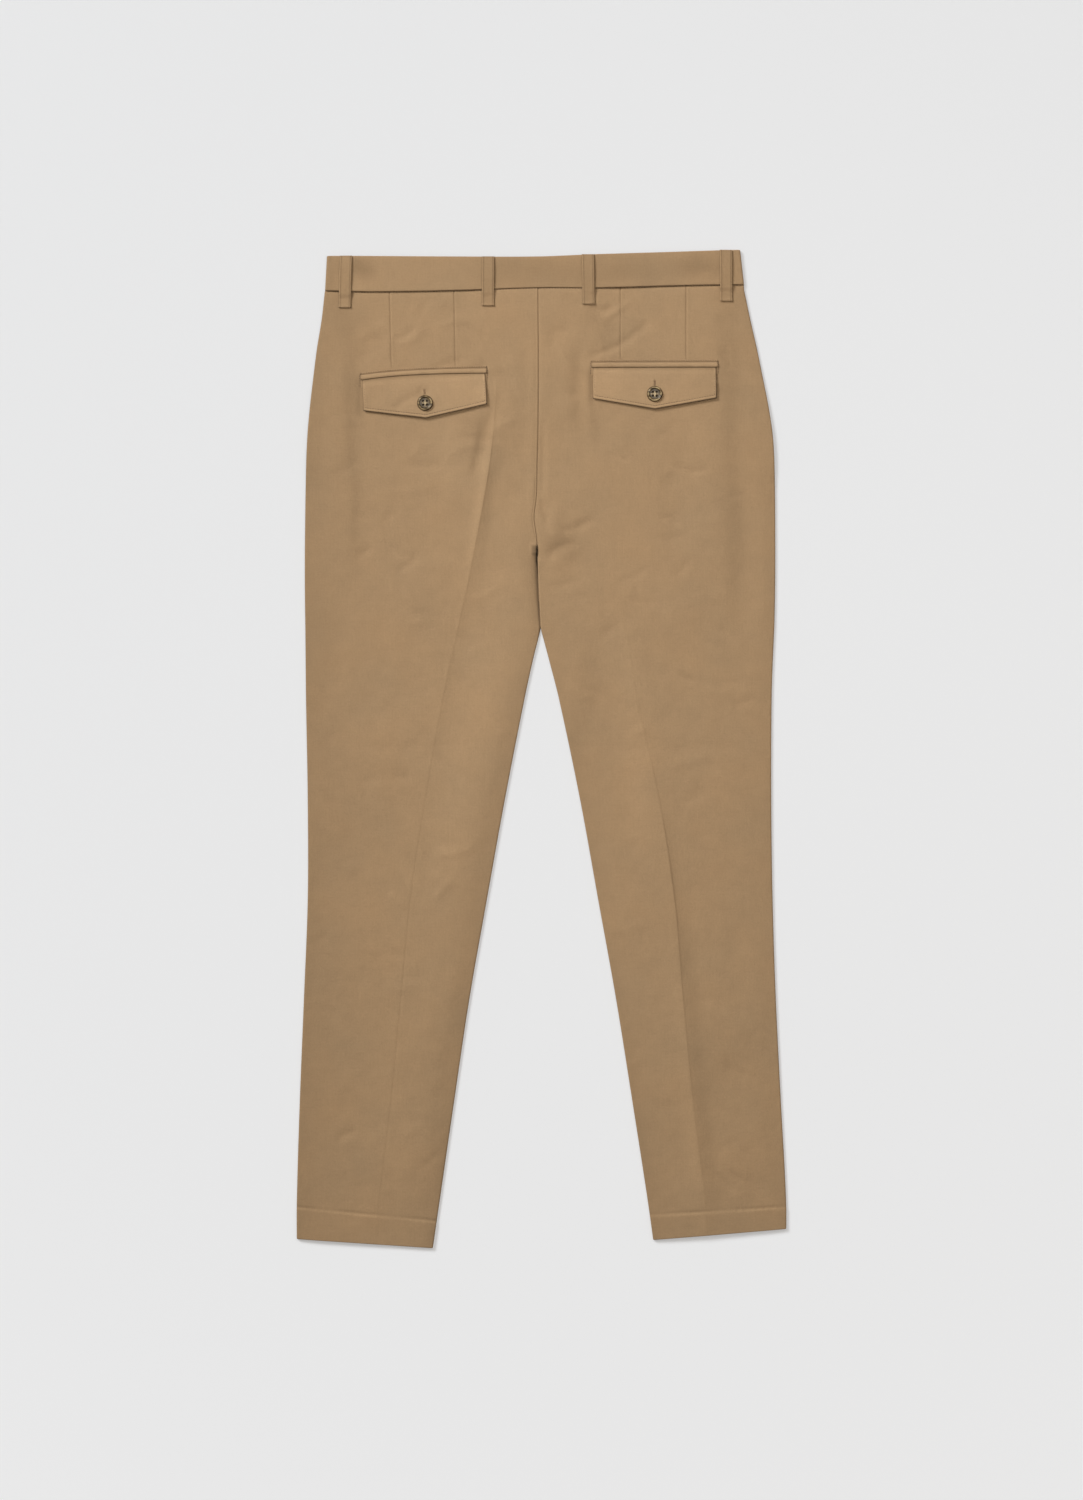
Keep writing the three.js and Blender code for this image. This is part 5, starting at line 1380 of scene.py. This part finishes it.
def seam_stitches(name, points, pitch, length, radius, arch=0.12):
    """Stitches of one length at an even pitch along a line of points."""
    reach = np.concatenate([[0], np.cumsum(np.linalg.norm(np.diff(points, axis=0), axis=1))])
    starts = np.arange(pitch / 2, reach[-1] - length, pitch)
    firsts, lasts = (
        np.stack([np.interp(at, reach, points[:, i]) for i in range(3)], 1)
        for at in (starts, starts + length)
    )
    mesh = thread_bars(name, firsts, lasts, radius, arch)
    sewn_piece(name, mesh, thread, "chino")


for side in POCKETS:
    line_in = FLAP_WIDTH / 2 - FLAP_SIDE_STITCH_IN
    down_at_end = flap_length(line_in) - FLAP_STITCH_IN / np.cos(lower_edge_slope)
    down_at_point = FLAP_POINT - FLAP_STITCH_IN / np.cos(lower_edge_slope)
    turns_at = (0, 40, 120, 200, 240)
    along = np.interp(np.arange(241), turns_at, (-line_in, -line_in, 0, line_in, line_in))
    turns_down = (SIDE_LINES_DOWN, down_at_end, down_at_point, down_at_end, SIDE_LINES_DOWN)
    down = np.interp(np.arange(241), turns_at, turns_down)
    points = on_pocket(side, along, down, flap_over(along, down) - FLAP_STITCH_SINK)
    seam_stitches(f"flap_stitches_{side}", points, *FLAP_STITCH)
    frame_half = JET_WIDTH / 2 + FRAME_STITCH_OUT
    frame_top = FRAME_STITCH_OUT - JET_HEIGHT
    turns_at = (0, 20, 140, 160)
    along = np.interp(np.arange(161), turns_at, (-frame_half, -frame_half, frame_half, frame_half))
    down = np.interp(np.arange(161), turns_at, (SIDE_LINES_DOWN, frame_top, frame_top, SIDE_LINES_DOWN))
    bowed = pocket_bow(side, np.clip(along, -JET_WIDTH / 2, JET_WIDTH / 2)) * FRAME_BOW
    over = np.where(abs(along) < JET_WIDTH / 2, ON_JET, BESIDE_JET)
    points = on_pocket(side, along, down - bowed, over)
    seam_stitches(f"jet_stitches_{side}", points, *FRAME_STITCH)
    rungs = np.arange(HOLE_TOP + 0.4, HOLE_FOOT - 0.5, RUNG_PITCH)
    for edge, to_left, to_right in (("left", -0.95, -0.25), ("right", 0.25, 0.95)):
        starts = on_pocket(side, to_left + 0 * rungs, rungs, flap_over(to_left, rungs) + RUNG_UP)
        ends = on_pocket(side, to_right + 0 * rungs, rungs, flap_over(to_right, rungs) + RUNG_UP)
        bars = thread_bars(f"buttonhole_{edge}_{side}", starts, ends, RUNG_RADIUS, RUNG_ARCH)
        sewn_piece(f"buttonhole_{edge}_{side}", bars, hole_thread, "chino")

for leg_name, leg in legs.items():
    drop = np.linspace(6, MOUTH_REACH - 10, 90)
    line_in = mouth_inset(drop) + side_tuck(drop) + MOUTH_STITCH_IN
    points = from_seam(leg.side(drop) - leg.sign * line_in, drop, UNDER_STITCH_UP)
    seam_stitches(f"mouth_stitches_{leg_name}", points, *UNDER_STITCH)
drop = np.linspace(14, FLY_LENGTH, 120)
bend = smooth(FLY_LENGTH - 46, FLY_LENGTH, drop)
points = from_seam(-J_STITCH_IN * np.sqrt(1 - 0.98 * bend**2), drop, UNDER_STITCH_UP)
seam_stitches("fly_stitches", points, *UNDER_STITCH)

x = np.linspace(BAND_LEFT[0] + 6, BAND_RIGHT[0] - 6, 400)
ditch = waist_seam(x) + DITCH_DOWN
ground = np.where(
    x < WAIST_SPLIT,
    back_lie("left", legs["left"], x, ditch),
    back_lie("right", legs["right"], x, ditch),
)
points = from_seam(x, ditch, ground - waist_sink(x, ditch) + DITCH_STITCH_UP)
seam_stitches("waist_seam_stitches", points, *WAIST_STITCH)

# Floor, lights and camera
# A plain pale floor, a large soft light high at the upper left, weak ones from above and from the right,
# and even light all round. The camera looks straight down, as in the photo.
FLOOR_SIZE = 6.0
FLOOR_UNDER = 0.0003
FLOOR_COLOUR = (1.0, 0.985, 0.968)
# The floor's tone in the middle, how it changes to the right and up, and outwards, and its lightest
FLOOR_TONE, TONE_RIGHT, TONE_UP, TONE_OUT, TONE_MOST = 0.455, 0.028, 0.112, 0.064, 0.9
CAMERA_HEIGHT = 3.683
CAMERA_Y = -0.00104
CAMERA_LENS, CAMERA_SENSOR = 85, 36

floor_mesh = bpy.data.meshes.new("floor")
half = FLOOR_SIZE / 2
corners = [(x * half, y * half, -FLOOR_UNDER) for x, y in ((-1, -1), (1, -1), (1, 1), (-1, 1))]
floor_mesh.from_pydata(corners, [], [(0, 1, 2, 3)])
floor_finish = Finish("pale_floor")
floor_x, floor_y, _ = floor_finish.add("SeparateXYZ", {}, {0: floor_finish.add("TexCoord")[3]})
far_out = floor_x * floor_x + floor_y * floor_y
floor_tone = FLOOR_TONE + floor_x * TONE_RIGHT - floor_y * TONE_UP + far_out * TONE_OUT
floor_tone = floor_tone.math("MINIMUM", TONE_MOST)
floor_material = floor_finish.surface(
    {
        "Base Color": floor_finish.shaded(FLOOR_COLOUR, floor_tone),
        "Roughness": 0.9,
        "Specular IOR Level": 0.1,
        "Emission Color": (1.0, 1.0, 1.0, 1.0),
        "Emission Strength": 0.33,
    }
)
floor = bpy.data.objects.new("floor", floor_mesh)
bpy.context.scene.collection.objects.link(floor)
floor_mesh.materials.append(floor_material)


def area_light(name, place, aim, size, power, colour):
    """A square area light at a place, turned to face the aim."""
    data = bpy.data.lights.new(name, "AREA")
    data.size = size
    data.energy = power
    data.color = colour
    light = bpy.data.objects.new(name, data)
    light.location = place
    away = np.array(place, float) - np.array(aim, float)
    light.rotation_euler = (np.arccos(away[2] / np.linalg.norm(away)), 0, np.arctan2(away[0], -away[1]))
    bpy.context.scene.collection.objects.link(light)


area_light("key", (-4.2, 4.0, 4.6), (0, 0, 0), 2.4, 486.0, (0.95, 1.0, 1.06))
area_light("overhead", (0.1, 0.5, 1.5), (0.1, 0.5, 0), 0.8, 7.5, (1.0, 1.0, 1.0))
area_light("fill", (2.2, -0.6, 2.6), (0, 0, 0), 2.4, 10.0, (1.0, 1.0, 1.0))
world = bpy.data.worlds.new("studio")
world.use_nodes = True
world.node_tree.nodes["Background"].inputs[0].default_value = (1.06, 1.0, 0.93, 1.0)
world.node_tree.nodes["Background"].inputs[1].default_value = 0.2
bpy.context.scene.world = world
bpy.context.scene.view_settings.view_transform = "Standard"

camera_data = bpy.data.cameras.new("camera")
camera_data.lens = CAMERA_LENS
camera_data.sensor_width = CAMERA_SENSOR
camera = bpy.data.objects.new("camera", camera_data)
camera.location = (0, CAMERA_Y, CAMERA_HEIGHT)
bpy.context.scene.collection.objects.link(camera)
bpy.context.scene.camera = camera
